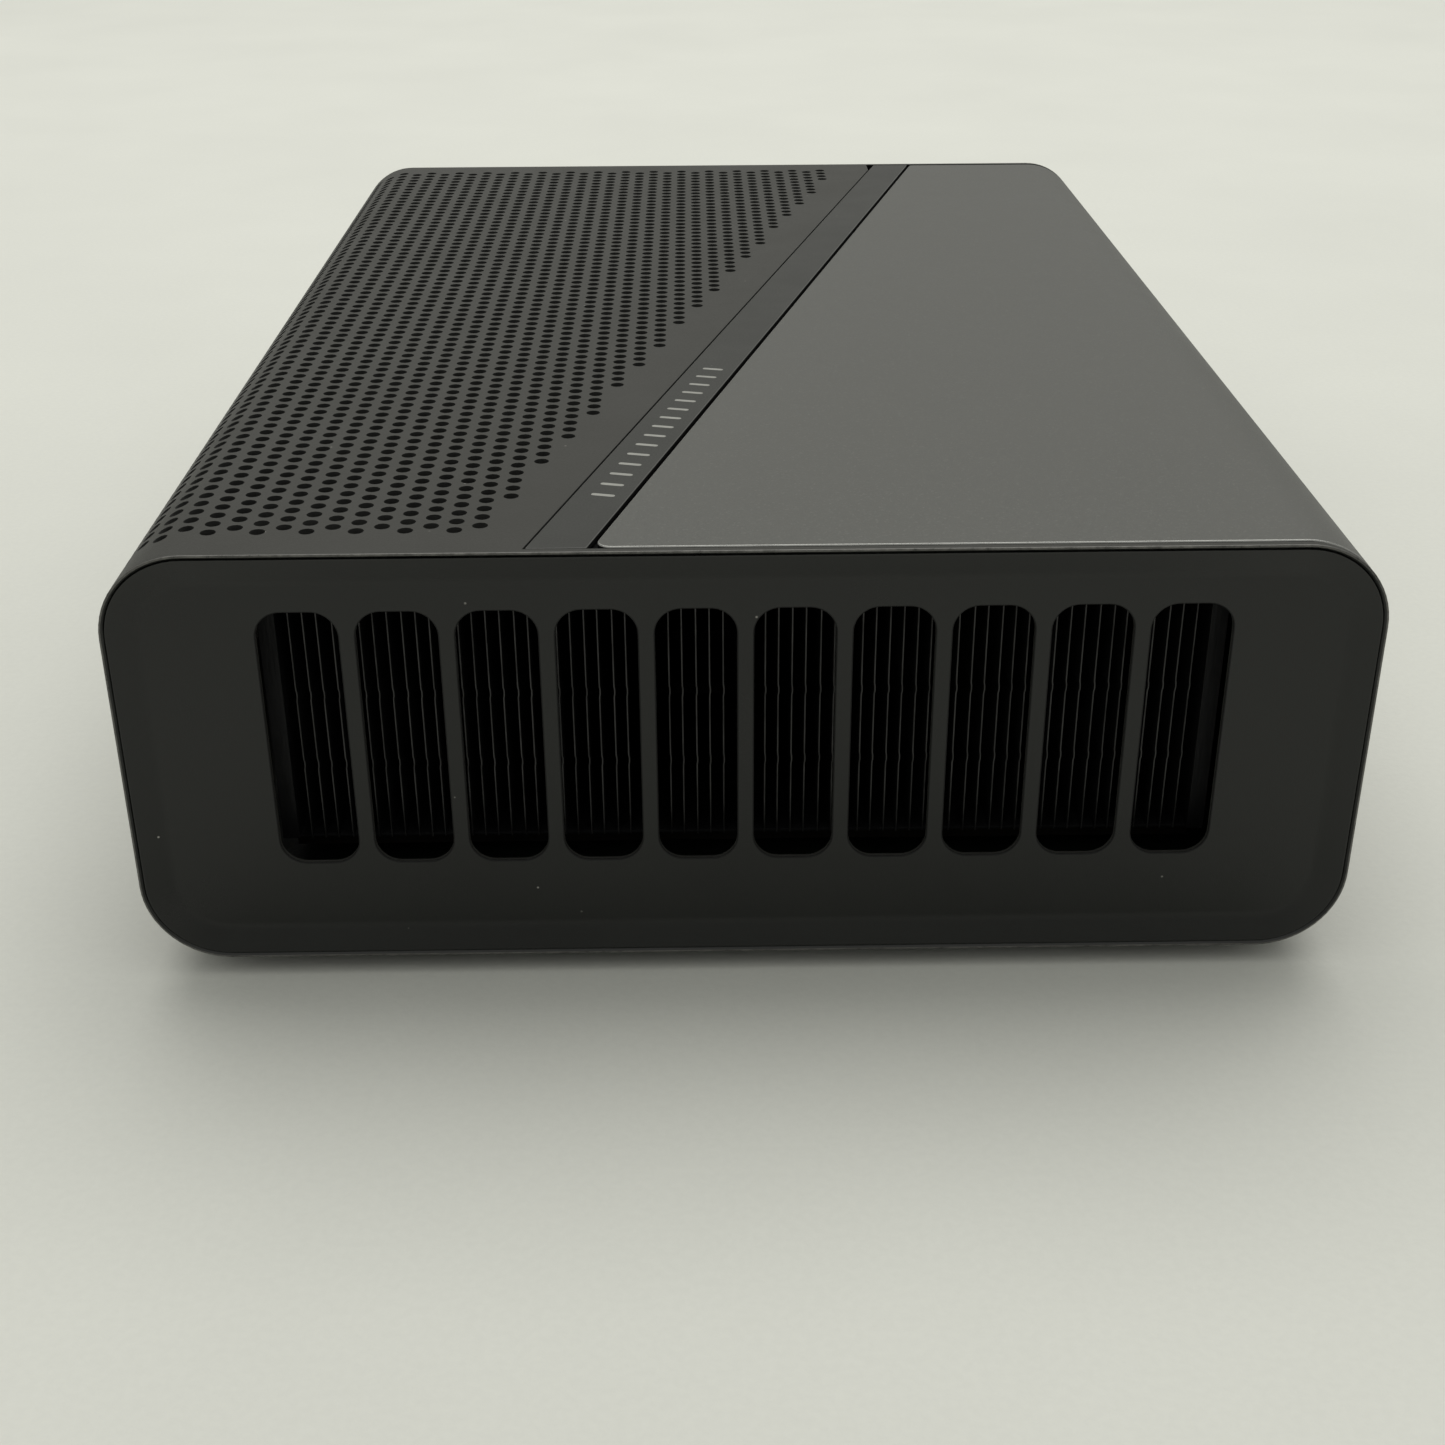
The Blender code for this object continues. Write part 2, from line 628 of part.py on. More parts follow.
def make_power_parts():
    for index in range(4):
        x = (-33 + 11 * index) * MM
        low = (x - 3.5 * MM, depth_y(102 * MM), on_board(CHIP_BASE))
        high = (x + 3.5 * MM, depth_y(109 * MM), level(FAN_BOTTOM) - 3 * GAP)
        block(f"power_choke_{index + 1}", low, high, "ferrite")
    for index in range(3):
        x = (-6 + 11 * index) * MM
        radius = 3.2 * MM
        profile = [(0, 9 * MM), (radius - 0.4 * MM, 9 * MM), (radius, 8.6 * MM),
                   (radius, 1.4 * MM), (radius - 0.3 * MM, 1.1 * MM), (radius, 0.8 * MM),
                   (radius, 0), (0, 0)]
        turned(f"bulk_capacitor_{index + 1}", profile,
               (x, depth_y(124 * MM), on_board(CHIP_BASE)), "Z", "can", 20)


def make_board_fixings():
    head_bottom = level(1.3 * MM)
    for index, (x, y) in enumerate(base_screw_places()):
        screw(f"base_screw_{index + 1}", (x, y, head_bottom - GAP), 1, 5.6 * MM)
        spacer = rod(f"board_spacer_{index + 1}",
                     (x, y, (level(WALL + GAP) + level(BOARD_BOTTOM - GAP)) / 2), 2.6 * MM,
                     BOARD_BOTTOM - WALL - 2 * GAP, "Z", "brass", 6)
        bore = rod(f"spacer_bore_{index}", (x, y, level(WALL)), M2_SCREW[2] + GAP, 8 * MM,
                   steps=HOLE_STEPS)
        cut(spacer, bore)

    plate_low, plate_high = level(2.35 * MM), level(3.15 * MM)
    frame = 27.5 * MM
    near, far = (depth_y(distance) for distance in COOLER_SCREW_DEPTHS)
    backplate = block("spring_backplate", (-frame, near - 4 * MM, plate_low),
                      (frame, far + 4 * MM, plate_high), "steel")
    window = block("backplate_window", (-frame + 8 * MM, near + 5 * MM, plate_low - MM),
                   (frame - 8 * MM, far - 5 * MM, plate_high + MM))
    cut(backplate, window)
    for index, (x, y) in enumerate(cooler_screw_places()):
        cut(backplate, rod(f"backplate_hole_{index}", (x, y, plate_low), M2_SCREW[2] + GAP,
                           8 * MM, steps=HOLE_STEPS))
        head = level(CHAMBER_BOTTOM + CHAMBER_THICKNESS) + GAP
        screw(f"cooler_screw_{index + 1}", (x, y, head), -1, 6.6 * MM)


# ---------------------------------------------------------------- cooling

def make_chamber():
    low = (-42 * MM, depth_y(8 * MM), level(CHAMBER_BOTTOM))
    high = (42 * MM, depth_y(99 * MM), level(CHAMBER_BOTTOM + CHAMBER_THICKNESS))
    chamber = block("vapor_chamber", low, high, "copper")
    for index, (x, y) in enumerate(cooler_screw_places()):
        cut(chamber, rod(f"chamber_hole_{index}", (x, y, level(CHAMBER_BOTTOM)),
                         M2_SCREW[2] + GAP, 8 * MM, steps=HOLE_STEPS))


def make_fins():
    """One comb of thin fins on a base, with a thicker wall at each end."""
    half_span = FIN_PITCH * (FIN_COUNT + 1) / 2
    base_top = level(FIN_BOTTOM + GAP)
    top = level(FIN_TOP)
    outline = [(-half_span - FIN_END_WALL, level(FIN_BOTTOM)),
               (-half_span - FIN_END_WALL, top), (-half_span, top), (-half_span, base_top)]
    for index in range(FIN_COUNT):
        x = (index - (FIN_COUNT - 1) / 2) * FIN_PITCH
        left, right = x - FIN_THICKNESS / 2, x + FIN_THICKNESS / 2
        outline += [(left, base_top), (left, top), (right, top), (right, base_top)]
    outline += [(half_span, base_top), (half_span, top), (half_span + FIN_END_WALL, top),
                (half_span + FIN_END_WALL, level(FIN_BOTTOM))]
    prism("fin_stack", outline, depth_y(FIN_FRONT), depth_y(FIN_FRONT + FIN_LENGTH), "Y", "fin")


def fan_outline(inset):
    """Plan of the blower case: square towards the fins, a half circle behind."""
    radius = FAN_HALF_WIDTH - inset
    centre_y = depth_y(ROTOR_FROM_FRONT)
    points = [(-radius, depth_y(FAN_FRONT)), (radius, depth_y(FAN_FRONT))]
    steps = 24
    for step in range(steps + 1):
        angle = math.pi * step / steps
        points.append((radius * math.cos(angle), centre_y + radius * math.sin(angle)))
    return points


def make_fan_case():
    low, high = level(FAN_BOTTOM), level(FAN_TOP)
    case = prism("fan_case", fan_outline(0), low, high, "Z", "fan")
    inside = [(x, y - MM if y < depth_y(FAN_FRONT) + MM else y) for x, y in fan_outline(FAN_WALL)]
    cut(case, prism("fan_inside", inside, low + FAN_WALL, high + MM, "Z"))

    cover_low = high + GAP
    cover = prism("fan_cover", fan_outline(0), cover_low, cover_low + 1 * MM, "Z", "steel")
    cut(cover, rod("cover_eye", (ROTOR_X, depth_y(ROTOR_FROM_FRONT), cover_low), 29 * MM,
                   8 * MM, steps=48))


def blade_outline(angle, inner, outer, thickness):
    """A thin blade that leans back as it goes out."""
    near, far = [], []
    steps = 3
    for step in range(steps + 1):
        share = step / steps
        radius = inner + (outer - inner) * share
        turn = angle - 0.35 * share * share
        half = thickness / 2 / radius
        near.append((radius * math.cos(turn - half), radius * math.sin(turn - half)))
        far.append((radius * math.cos(turn + half), radius * math.sin(turn + half)))
    return near + list(reversed(far))


def make_rotor():
    """Hub cup, floor disc, shaft and blades, about the blower's axis."""
    disc_low = level(FAN_BOTTOM + FAN_WALL) + 1.2 * MM
    disc_high = disc_low + 1.2 * MM
    top = level(FAN_TOP) - 1.2 * MM
    shaft_low = level(FAN_BOTTOM + FAN_WALL) + 1.0 * MM
    cup_inner = HUB_RADIUS - 1.2 * MM
    profile = [(0, top), (HUB_RADIUS - MM, top), (HUB_RADIUS, top - MM), (HUB_RADIUS, disc_high),
               (ROTOR_RADIUS, disc_high), (ROTOR_RADIUS, disc_low), (cup_inner, disc_low),
               (cup_inner, top - 1.4 * MM), (SHAFT_RADIUS, top - 1.4 * MM),
               (SHAFT_RADIUS, shaft_low), (0, shaft_low)]
    local = [(radius, z - disc_low) for radius, z in profile]
    centre = (ROTOR_X, depth_y(ROTOR_FROM_FRONT), disc_low)
    rotor = turned("fan_rotor", local, centre, "Z", "fan", 44)

    bm = bmesh.new()
    for index in range(BLADE_COUNT):
        outline = blade_outline(2 * math.pi * index / BLADE_COUNT, 17 * MM,
                                ROTOR_RADIUS - 0.4 * MM, 0.8 * MM)
        ring = [bm.verts.new((x, y, 0.7 * MM)) for x, y in outline]
        grown = bmesh.ops.extrude_face_region(bm, geom=[bm.faces.new(ring)])
        moved = [item for item in grown["geom"] if isinstance(item, bmesh.types.BMVert)]
        bmesh.ops.translate(bm, vec=(0, 0, top - disc_low - 2.4 * MM), verts=moved)
    blades = add_object("rotor_blades", bm, None, PARTS)
    blades.location = centre
    fuse(rotor, blades)

    stator_low = level(FAN_BOTTOM + FAN_WALL) + GAP
    stator = rod("motor_stator", (centre[0], centre[1], stator_low + 7 * MM), 11.6 * MM,
                 14 * MM, "Z", "copper", 24)
    bore = rod("stator_bore", (centre[0], centre[1], stator_low + 8 * MM),
               SHAFT_RADIUS + GAP, 15 * MM, steps=HOLE_STEPS)
    cut(stator, bore)


make_sleeve()
make_bezel()
make_trim()
make_feet()
make_rear_panel()
for socket_name, socket_mouths in SOCKETS.items():
    make_socket(socket_name, socket_mouths)
make_inlet()
make_button()
make_board()
make_chips()
make_power_parts()
make_board_fixings()
make_chamber()
make_fins()
make_fan_case()
make_rotor()
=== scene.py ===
"""Looks of the external graphics dock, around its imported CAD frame."""
import json
import math
import random

import bmesh  # noqa: E402
import bpy  # noqa: E402
from mathutils import Matrix, Vector  # noqa: E402


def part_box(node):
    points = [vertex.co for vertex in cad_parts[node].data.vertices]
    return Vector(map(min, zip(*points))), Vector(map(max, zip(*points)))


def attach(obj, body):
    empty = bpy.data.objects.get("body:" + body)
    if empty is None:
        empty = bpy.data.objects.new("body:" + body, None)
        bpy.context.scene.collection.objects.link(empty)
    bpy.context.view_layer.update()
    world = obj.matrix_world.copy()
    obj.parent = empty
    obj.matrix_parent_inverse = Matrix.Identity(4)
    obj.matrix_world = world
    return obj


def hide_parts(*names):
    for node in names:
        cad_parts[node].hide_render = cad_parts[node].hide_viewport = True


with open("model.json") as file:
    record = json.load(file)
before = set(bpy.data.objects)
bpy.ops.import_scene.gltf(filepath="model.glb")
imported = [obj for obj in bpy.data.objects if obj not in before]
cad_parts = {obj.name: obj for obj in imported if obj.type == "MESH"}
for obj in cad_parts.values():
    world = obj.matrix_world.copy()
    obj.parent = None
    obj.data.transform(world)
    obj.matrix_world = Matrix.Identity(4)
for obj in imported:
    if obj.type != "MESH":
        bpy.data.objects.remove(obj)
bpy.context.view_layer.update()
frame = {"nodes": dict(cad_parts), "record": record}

MM = 0.001
SLEEVE_LOW, SLEEVE_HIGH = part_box("outer_sleeve")
HALF_W = SLEEVE_HIGH.x
HALF_D = SLEEVE_HIGH.y
BASE_Z, TOP_Z = SLEEVE_LOW.z, SLEEVE_HIGH.z
MID_Z = (BASE_Z + TOP_Z) / 2
RADIUS = 7.7 * MM               # round edges of the housing
SKIN = 1.0 * MM                 # thickness of the perforated skin
WALL = 2.0 * MM
GAP = 0.3 * MM
FINE_GAP = 0.18 * MM            # seam between the strip and the sleeve

# Unrolled cross-section: flat top half, round edge, flat side, round edge, flat bottom half
FLAT = HALF_W - RADIUS
ARC = math.pi / 2 * RADIUS
SIDE = TOP_Z - BASE_Z - 2 * RADIUS
ARC_STEPS = 16

# The diagonal trim, in plan: x at the front end, and x gained per unit of depth
STRIP_LEFT = -18.8 * MM
PLATE_LEFT = -13.2 * MM
DIAGONAL = 0.272
TRIM_MARGIN = 0.75 * MM
TRIM_THICKNESS = 0.5 * MM
POCKET_DEPTH = 0.8 * MM
POCKET_END = FLAT + ARC + 16.6 * MM
PLATE_END = FLAT + ARC + 16.3 * MM

# Field of small round holes
HOLE_RADIUS = 0.7 * MM
COLUMN, ROW = 2.107 * MM, 1.0144 * MM
COLUMN_0, ROW_0 = -37.523 * MM, 5.25 * MM
FIRST_COLUMN, LAST_COLUMN = -19, 28
LAST_ROW = 145
HOLE_MARGIN = 5.45 * MM

FIN_COUNT = 66
FIN_PITCH = 1.235 * MM
FIN_WALL = 1.5 * MM

# Surface detail
GRAIN_HEIGHT = 0.25             # bump height, as a share of the grain's size
GRAIN_LIFT = 3.2                # how much paler a lit grain is
SPECK_SPACING = 3.1 * MM
SPECK_PATCHES = 9 * MM
SPECK_COLOUR = (0.42, 0.41, 0.38)
SMALL = 1e-7                    # lengths under this count as nothing


def depth_y(distance):
    """Y of a point at this distance behind the front end."""
    return distance - HALF_D


# ---------------------------------------------------------------- camera, light, floor

def make_camera():
    data = bpy.data.cameras.new("camera")
    data.lens, data.sensor_width = 49.05, 36.0
    data.clip_start, data.clip_end = 0.01, 50.0
    camera = bpy.data.objects.new("camera", data)
    bpy.context.scene.collection.objects.link(camera)
    yaw, pitch, roll = 0.0128, 0.4744, -0.0051
    turn = (Matrix.Rotation(-yaw, 4, "Z") @ Matrix.Rotation(math.pi / 2 - pitch, 4, "X")
            @ Matrix.Rotation(roll, 4, "Z"))
    camera.matrix_world = Matrix.Translation((-0.0040, -0.2312, 0.1043)) @ turn
    bpy.context.scene.camera = camera


def make_light(name, place, aim, width, height, power, colour):
    data = bpy.data.lights.new(name, "AREA")
    data.shape = "RECTANGLE"
    data.size, data.size_y = width, height
    data.energy = power
    data.color = colour
    light = bpy.data.objects.new(name, data)
    light.location = place
    light.rotation_euler = (Vector(aim) - Vector(place)).to_track_quat("-Z", "Y").to_euler()
    bpy.context.scene.collection.objects.link(light)


# ---------------------------------------------------------------- materials

def add(tree, kind, settings=None, inputs=None):
    made = tree.nodes.new(kind)
    for key, value in (settings or {}).items():
        setattr(made, key, value)
    for key, value in (inputs or {}).items():
        if isinstance(value, bpy.types.NodeSocket):
            tree.links.new(value, made.inputs[key])
        else:
            made.inputs[key].default_value = value
    return made


def noise(tree, coords, size, detail, roughness=0.55):
    """Noise whose features are about this large."""
    return add(tree, "ShaderNodeTexNoise", None,
               {"Vector": coords, "Scale": 1 / size, "Detail": detail,
                "Roughness": roughness}).outputs["Fac"]


def remap(tree, value, low, high, to_low, to_high):
    return add(tree, "ShaderNodeMapRange", {"clamp": True},
               {"Value": value, "From Min": low, "From Max": high,
                "To Min": to_low, "To Max": to_high}).outputs["Result"]


def blend_colours(tree, factor, first, second):
    mix = add(tree, "ShaderNodeMix", {"data_type": "RGBA"})
    tree.links.new(factor, mix.inputs[0])
    for index, colour in ((6, first), (7, second)):
        if isinstance(colour, bpy.types.NodeSocket):
            tree.links.new(colour, mix.inputs[index])
        else:
            mix.inputs[index].default_value = (*colour, 1)
    return mix.outputs[2]


def finish(name, colour, roughness, metallic=0.0, *, grain, mottle, depth=0.3, swing=0.12,
           rough_swing=0.06, sparkle=0.0, stretch=None, specular=0.5, dust=0.0, coat=0.0,
           fine=0.0):
    """Procedural surface: grain and mottle are feature sizes in mm, swing is the colour's share.

    stretch draws the grain out along an axis, sparkle lights single grains up, and dust lays
    small pale specks on the surface."""
    material = bpy.data.materials.new(name)
    material.use_nodes = True
    tree = material.node_tree
    shader = tree.nodes["Principled BSDF"]
    coords = add(tree, "ShaderNodeTexCoord").outputs["Object"]
    drawn = coords
    if stretch:
        drawn = add(tree, "ShaderNodeMapping", {"vector_type": "TEXTURE"},
                    {"Vector": coords, "Scale": stretch}).outputs["Vector"]
    small = noise(tree, drawn, grain * MM, 3.0, 0.6)
    broad = noise(tree, coords, mottle * MM, 5.0, 0.6)
    darker = tuple(c * (1 - swing) for c in colour)
    lighter = tuple(c * (1 + swing) for c in colour)
    shade = remap(tree, broad, 0.3, 0.7, 0.0, 1.0)
    result = blend_colours(tree, shade, darker, lighter)
    if fine:
        tone = remap(tree, small, 0.35, 0.65, 1 - fine, 1 + fine)
        result = add(tree, "ShaderNodeVectorMath", {"operation": "SCALE"},
                     {0: result, "Scale": tone}).outputs["Vector"]
    if sparkle:
        cells = add(tree, "ShaderNodeTexVoronoi", None,
                    {"Vector": coords, "Scale": 1 / (grain * MM), "Randomness": 1.0})
        lit = remap(tree, cells.outputs["Color"], 0.75, 1.0, 0.0, sparkle)
        result = blend_colours(tree, lit, result, tuple(min(1, c * GRAIN_LIFT) for c in colour))
    if dust:
        specks = add(tree, "ShaderNodeTexVoronoi", None,
                     {"Vector": coords, "Scale": 1 / SPECK_SPACING, "Randomness": 1.0})
        chosen = remap(tree, specks.outputs["Distance"], 0.020, 0.045, dust, 0.0)
        sparse = remap(tree, noise(tree, coords, SPECK_PATCHES, 2.0), 0.52, 0.60, 0.0, 1.0)
        lit = add(tree, "ShaderNodeMath", {"operation": "MULTIPLY"},
                  {0: chosen, 1: sparse}).outputs["Value"]
        result = blend_colours(tree, lit, result, SPECK_COLOUR)
    tree.links.new(result, shader.inputs["Base Color"])
    rough = remap(tree, small, 0.3, 0.7, roughness - rough_swing, roughness + rough_swing)
    wide = remap(tree, broad, 0.3, 0.7, -rough_swing, rough_swing)
    total = add(tree, "ShaderNodeMath", {"operation": "ADD", "use_clamp": True},
                {0: rough, 1: wide}).outputs["Value"]
    tree.links.new(total, shader.inputs["Roughness"])
    bump = add(tree, "ShaderNodeBump", None,
               {"Strength": min(1.0, depth), "Distance": GRAIN_HEIGHT * grain * MM,
                "Height": small})
    tree.links.new(bump.outputs["Normal"], shader.inputs["Normal"])
    shader.inputs["Metallic"].default_value = metallic
    shader.inputs["Specular IOR Level"].default_value = specular
    if coat:
        shader.inputs["Coat Weight"].default_value = coat
        shader.inputs["Coat Roughness"].default_value = 0.2
    return material


LOOKS = {
    "shell": finish("shell_paint", (0.0255, 0.025, 0.0215), 0.50, 0.05, grain=0.16, depth=0.35,
                    mottle=14, swing=0.07, rough_swing=0.05, dust=0.5, fine=0.08,
                    specular=0.25),
    # shell_edge: worn flecks on a colour four times paler than the shell's paint, a painted
    # highlight along the rounded end edges.
    "shell_edge": finish("shell_edge_wear_and_highlight", (0.105, 0.103, 0.096), 0.38, 0.45, grain=0.4,
                         depth=0.4, mottle=1.1, swing=0.40, rough_swing=0.10, fine=0.15),
    "shell_inner": finish("shell_inside", (0.020, 0.020, 0.019), 0.65, grain=0.3, mottle=8),
    "seam": finish("seam_shade", (0.004, 0.004, 0.004), 0.75, grain=0.3, mottle=5,
                   specular=0.15),
    "slot_wall": finish("slot_wall", (0.004, 0.0042, 0.004), 0.6, grain=0.2, mottle=5,
                        specular=0.3),
    # slot_rim_highlight: seven times paler than the bezel's plastic, a painted highlight for the
    # light line along each slot's wall.
    "slot_rim_highlight": finish("slot_rim_highlight", (0.034, 0.034, 0.031), 0.5, grain=0.2, mottle=5),
    "bezel": finish("bezel_plastic", (0.0046, 0.0052, 0.0044), 0.36, grain=0.14, depth=0.3,
                    mottle=18, swing=0.35, rough_swing=0.06, dust=0.8, fine=0.10,
                    specular=0.42),
    # bezel_edge: dark satin on the bezel's and the rear panel's rims; on the rear panel's rim and
    # the mouths' groove walls it is darker than the part's own colour, painted shade in the
    # groove.
    "bezel_edge": finish("bezel_edge", (0.0065, 0.0070, 0.0062), 0.36, grain=0.3, depth=0.3,
                         mottle=5, swing=0.2, fine=0.1),
    "plate": finish("inlay_metal", (0.089, 0.0895, 0.0835), 0.54, 0.5, grain=0.18, depth=0.5,
                    mottle=30, swing=0.05, rough_swing=0.06, sparkle=0.15, fine=0.12),
    "plate_edge": finish("inlay_cut_edge", (0.30, 0.30, 0.29), 0.30, 1.0, grain=0.35,
                         depth=0.35, mottle=3, swing=0.15, stretch=(1, 8, 1)),
    "strip": finish("strip_plastic", (0.0265, 0.027, 0.0245), 0.50, 0.05, grain=0.20, depth=0.2,
                    mottle=12, swing=0.06, dust=0.3, fine=0.05, specular=0.25),
    # strip_edge_highlight: three times paler than the strip's plastic, a painted highlight along
    # the strip's bevelled edge.
    "strip_edge_highlight": finish("strip_edge_highlight", (0.08, 0.08, 0.077), 0.35, 0.2, grain=0.3, mottle=3),
    "print": finish("pale_print", (0.27, 0.27, 0.25), 0.55, grain=0.10, mottle=1.0, swing=0.12),
    "panel": finish("panel_plastic", (0.020, 0.020, 0.020), 0.52, grain=0.22, depth=0.5,
                    mottle=12, swing=0.12, rough_swing=0.07, dust=0.5, fine=0.1),
    "rubber": finish("foot_rubber", (0.016, 0.016, 0.016), 0.85, grain=0.35, depth=0.6,
                     mottle=3, swing=0.25, specular=0.3, dust=0.5),
    "screw": finish("black_steel", (0.075, 0.075, 0.078), 0.36, 0.9, grain=0.25, depth=0.3,
                    mottle=1.2, swing=0.3, rough_swing=0.1),
    "brass": finish("spacer_brass", (0.55, 0.40, 0.15), 0.34, 1.0, grain=0.3, depth=0.3,
                    mottle=2, swing=0.12, stretch=(1, 1, 6)),
    "board": finish("board_laminate", (0.004, 0.0065, 0.005), 0.5, grain=0.35, depth=0.35,
                    mottle=5, swing=0.35, coat=0.3),
    "chip": finish("chip_epoxy", (0.016, 0.016, 0.017), 0.45, grain=0.15, depth=0.5, mottle=3),
    "pad": finish("pad_silicone", (0.25, 0.28, 0.33), 0.82, grain=0.3, depth=0.6, mottle=3),
    "ferrite": finish("choke_ferrite", (0.060, 0.060, 0.062), 0.68, grain=0.2, depth=0.7,
                      mottle=1.5, swing=0.2),
    "can": finish("capacitor_can", (0.60, 0.60, 0.61), 0.28, 1.0, grain=0.4, depth=0.25,
                  mottle=3, stretch=(1, 1, 8)),
    # chamber: copper coloured far darker than bare copper, so the chamber shows dark below the
    # fins.
    "chamber": finish("chamber_dark_copper", (0.018, 0.015, 0.013), 0.45, 0.6, grain=0.4,
                      depth=0.3, mottle=9, swing=0.25, stretch=(1, 10, 1)),
    "copper": finish("winding_copper", (0.50, 0.22, 0.11), 0.36, 1.0, grain=0.4, depth=0.3,
                     mottle=9, swing=0.25, stretch=(1, 10, 1)),
    # fin: dark metal on the fins' sides and walls; the front faces take the paler fin_edge, so
    # sides and fronts are shaded and lit copies of one metal.
    "fin": finish("fin_metal", (0.010, 0.010, 0.011), 0.50, 0.4, grain=0.4, depth=0.3,
                  mottle=5, swing=0.2, stretch=(1, 1, 8)),
    # fin_edge: the lit copy, a painted highlight on the fins' front faces, with a random mottle.
    "fin_edge": finish("fin_edge_highlight", (0.049, 0.049, 0.048), 0.45, 0.7, grain=0.5, depth=0.4,
                       mottle=2.5, swing=0.5, stretch=(1, 1, 4)),
    "steel": finish("bracket_steel", (0.060, 0.060, 0.062), 0.40, 0.8, grain=0.4, depth=0.3,
                    mottle=9, swing=0.15, stretch=(8, 1, 1)),
    "fan": finish("fan_plastic", (0.014, 0.014, 0.014), 0.50, grain=0.25, depth=0.4, mottle=8),
    "socket": finish("socket_steel", (0.48, 0.48, 0.47), 0.28, 1.0, grain=0.3, depth=0.25,
                     mottle=2.5, swing=0.12, stretch=(1, 6, 1)),
    "insert": finish("socket_plastic", (0.012, 0.012, 0.012), 0.48, grain=0.2, depth=0.4,
                     mottle=2),
    "gold": finish("contact_gold", (0.75, 0.55, 0.22), 0.25, 1.0, grain=0.2, mottle=1),
    "light": finish("light_resin", (0.55, 0.60, 0.60), 0.28, grain=0.4, depth=0.2, mottle=1.5,
                    swing=0.05),
}


# ---------------------------------------------------------------- shape tools

def outline_at(s, inset=0.0):
    """x, z and the outward normal of the cross-section at s, unrolled from the top's middle."""
    sign = 1 if s >= 0 else -1
    run = abs(s)
    if run <= FLAT:
        x, z, nx, nz = run, TOP_Z, 0.0, 1.0
    elif run <= FLAT + ARC:
        turn = (run - FLAT) / RADIUS
        nx, nz = math.sin(turn), math.cos(turn)
        x, z = FLAT + RADIUS * nx, TOP_Z - RADIUS + RADIUS * nz
    elif run <= FLAT + ARC + SIDE:
        x, z, nx, nz = HALF_W, TOP_Z - RADIUS - (run - FLAT - ARC), 1.0, 0.0
    elif run <= FLAT + 2 * ARC + SIDE:
        turn = (run - FLAT - ARC - SIDE) / RADIUS
        nx, nz = math.cos(turn), -math.sin(turn)
        x, z = FLAT + RADIUS * nx, BASE_Z + RADIUS + RADIUS * nz
    else:
        x, z, nx, nz = FLAT - (run - FLAT - 2 * ARC - SIDE), BASE_Z, 0.0, -1.0
    return sign * (x - inset * nx), z - inset * nz, sign * nx, nz


def arc_marks(low, high, steps=ARC_STEPS):
    """Values of s between low and high where the round edges need a division."""
    marks = set()
    for sign in (-1, 1):
        for start in (FLAT, FLAT + ARC + SIDE):
            for step in range(steps + 1):
                marks.add(round(sign * (start + ARC * step / steps), 9))
    return sorted(m for m in marks if low + SMALL < m < high - SMALL)


def make_object(name, mesh, looks):
    for look in looks:
        mesh.materials.append(LOOKS[look])
    obj = bpy.data.objects.new(name, mesh)
    bpy.context.scene.collection.objects.link(obj)
    return obj


def from_bmesh(name, bm, looks, degrees=35):
    bmesh.ops.recalc_face_normals(bm, faces=bm.faces)
    mesh = bpy.data.meshes.new(name)
    bm.to_mesh(mesh)
    bm.free()
    mesh.shade_smooth()
    mesh.set_sharp_from_angle(angle=math.radians(degrees))
    return make_object(name, mesh, looks)


def keep_ends_flat(obj):
    """Faces across Y keep their own normal, so that the fillets round them don't tilt it."""
    mesh = obj.data
    flat = {}
    for face in mesh.polygons:
        if abs(face.normal.y) > 0.9999:
            flat.update((index, face.normal.copy()) for index in face.vertices)
    set_normals(mesh, flat, 0.8)
    return obj


def set_normals(mesh, wanted, likeness=-1.0):
    """Give vertices the wanted normals, on the corners whose normal is this like them."""
    normals = [corner.vector.copy() for corner in mesh.corner_normals]
    for loop in mesh.loops:
        own = wanted.get(loop.vertex_index)
        if own and normals[loop.index].dot(own) > likeness:
            normals[loop.index] = own
    mesh.normals_split_custom_set([tuple(normal) for normal in normals])


def declare(obj, slot, *nodes, body="housing"):
    """Make obj a piece of the object: hang it under its body, and hide the CAD nodes it stands
    for; slot is not used.
    """
    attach(obj, body)
    if nodes:
        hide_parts(*nodes)


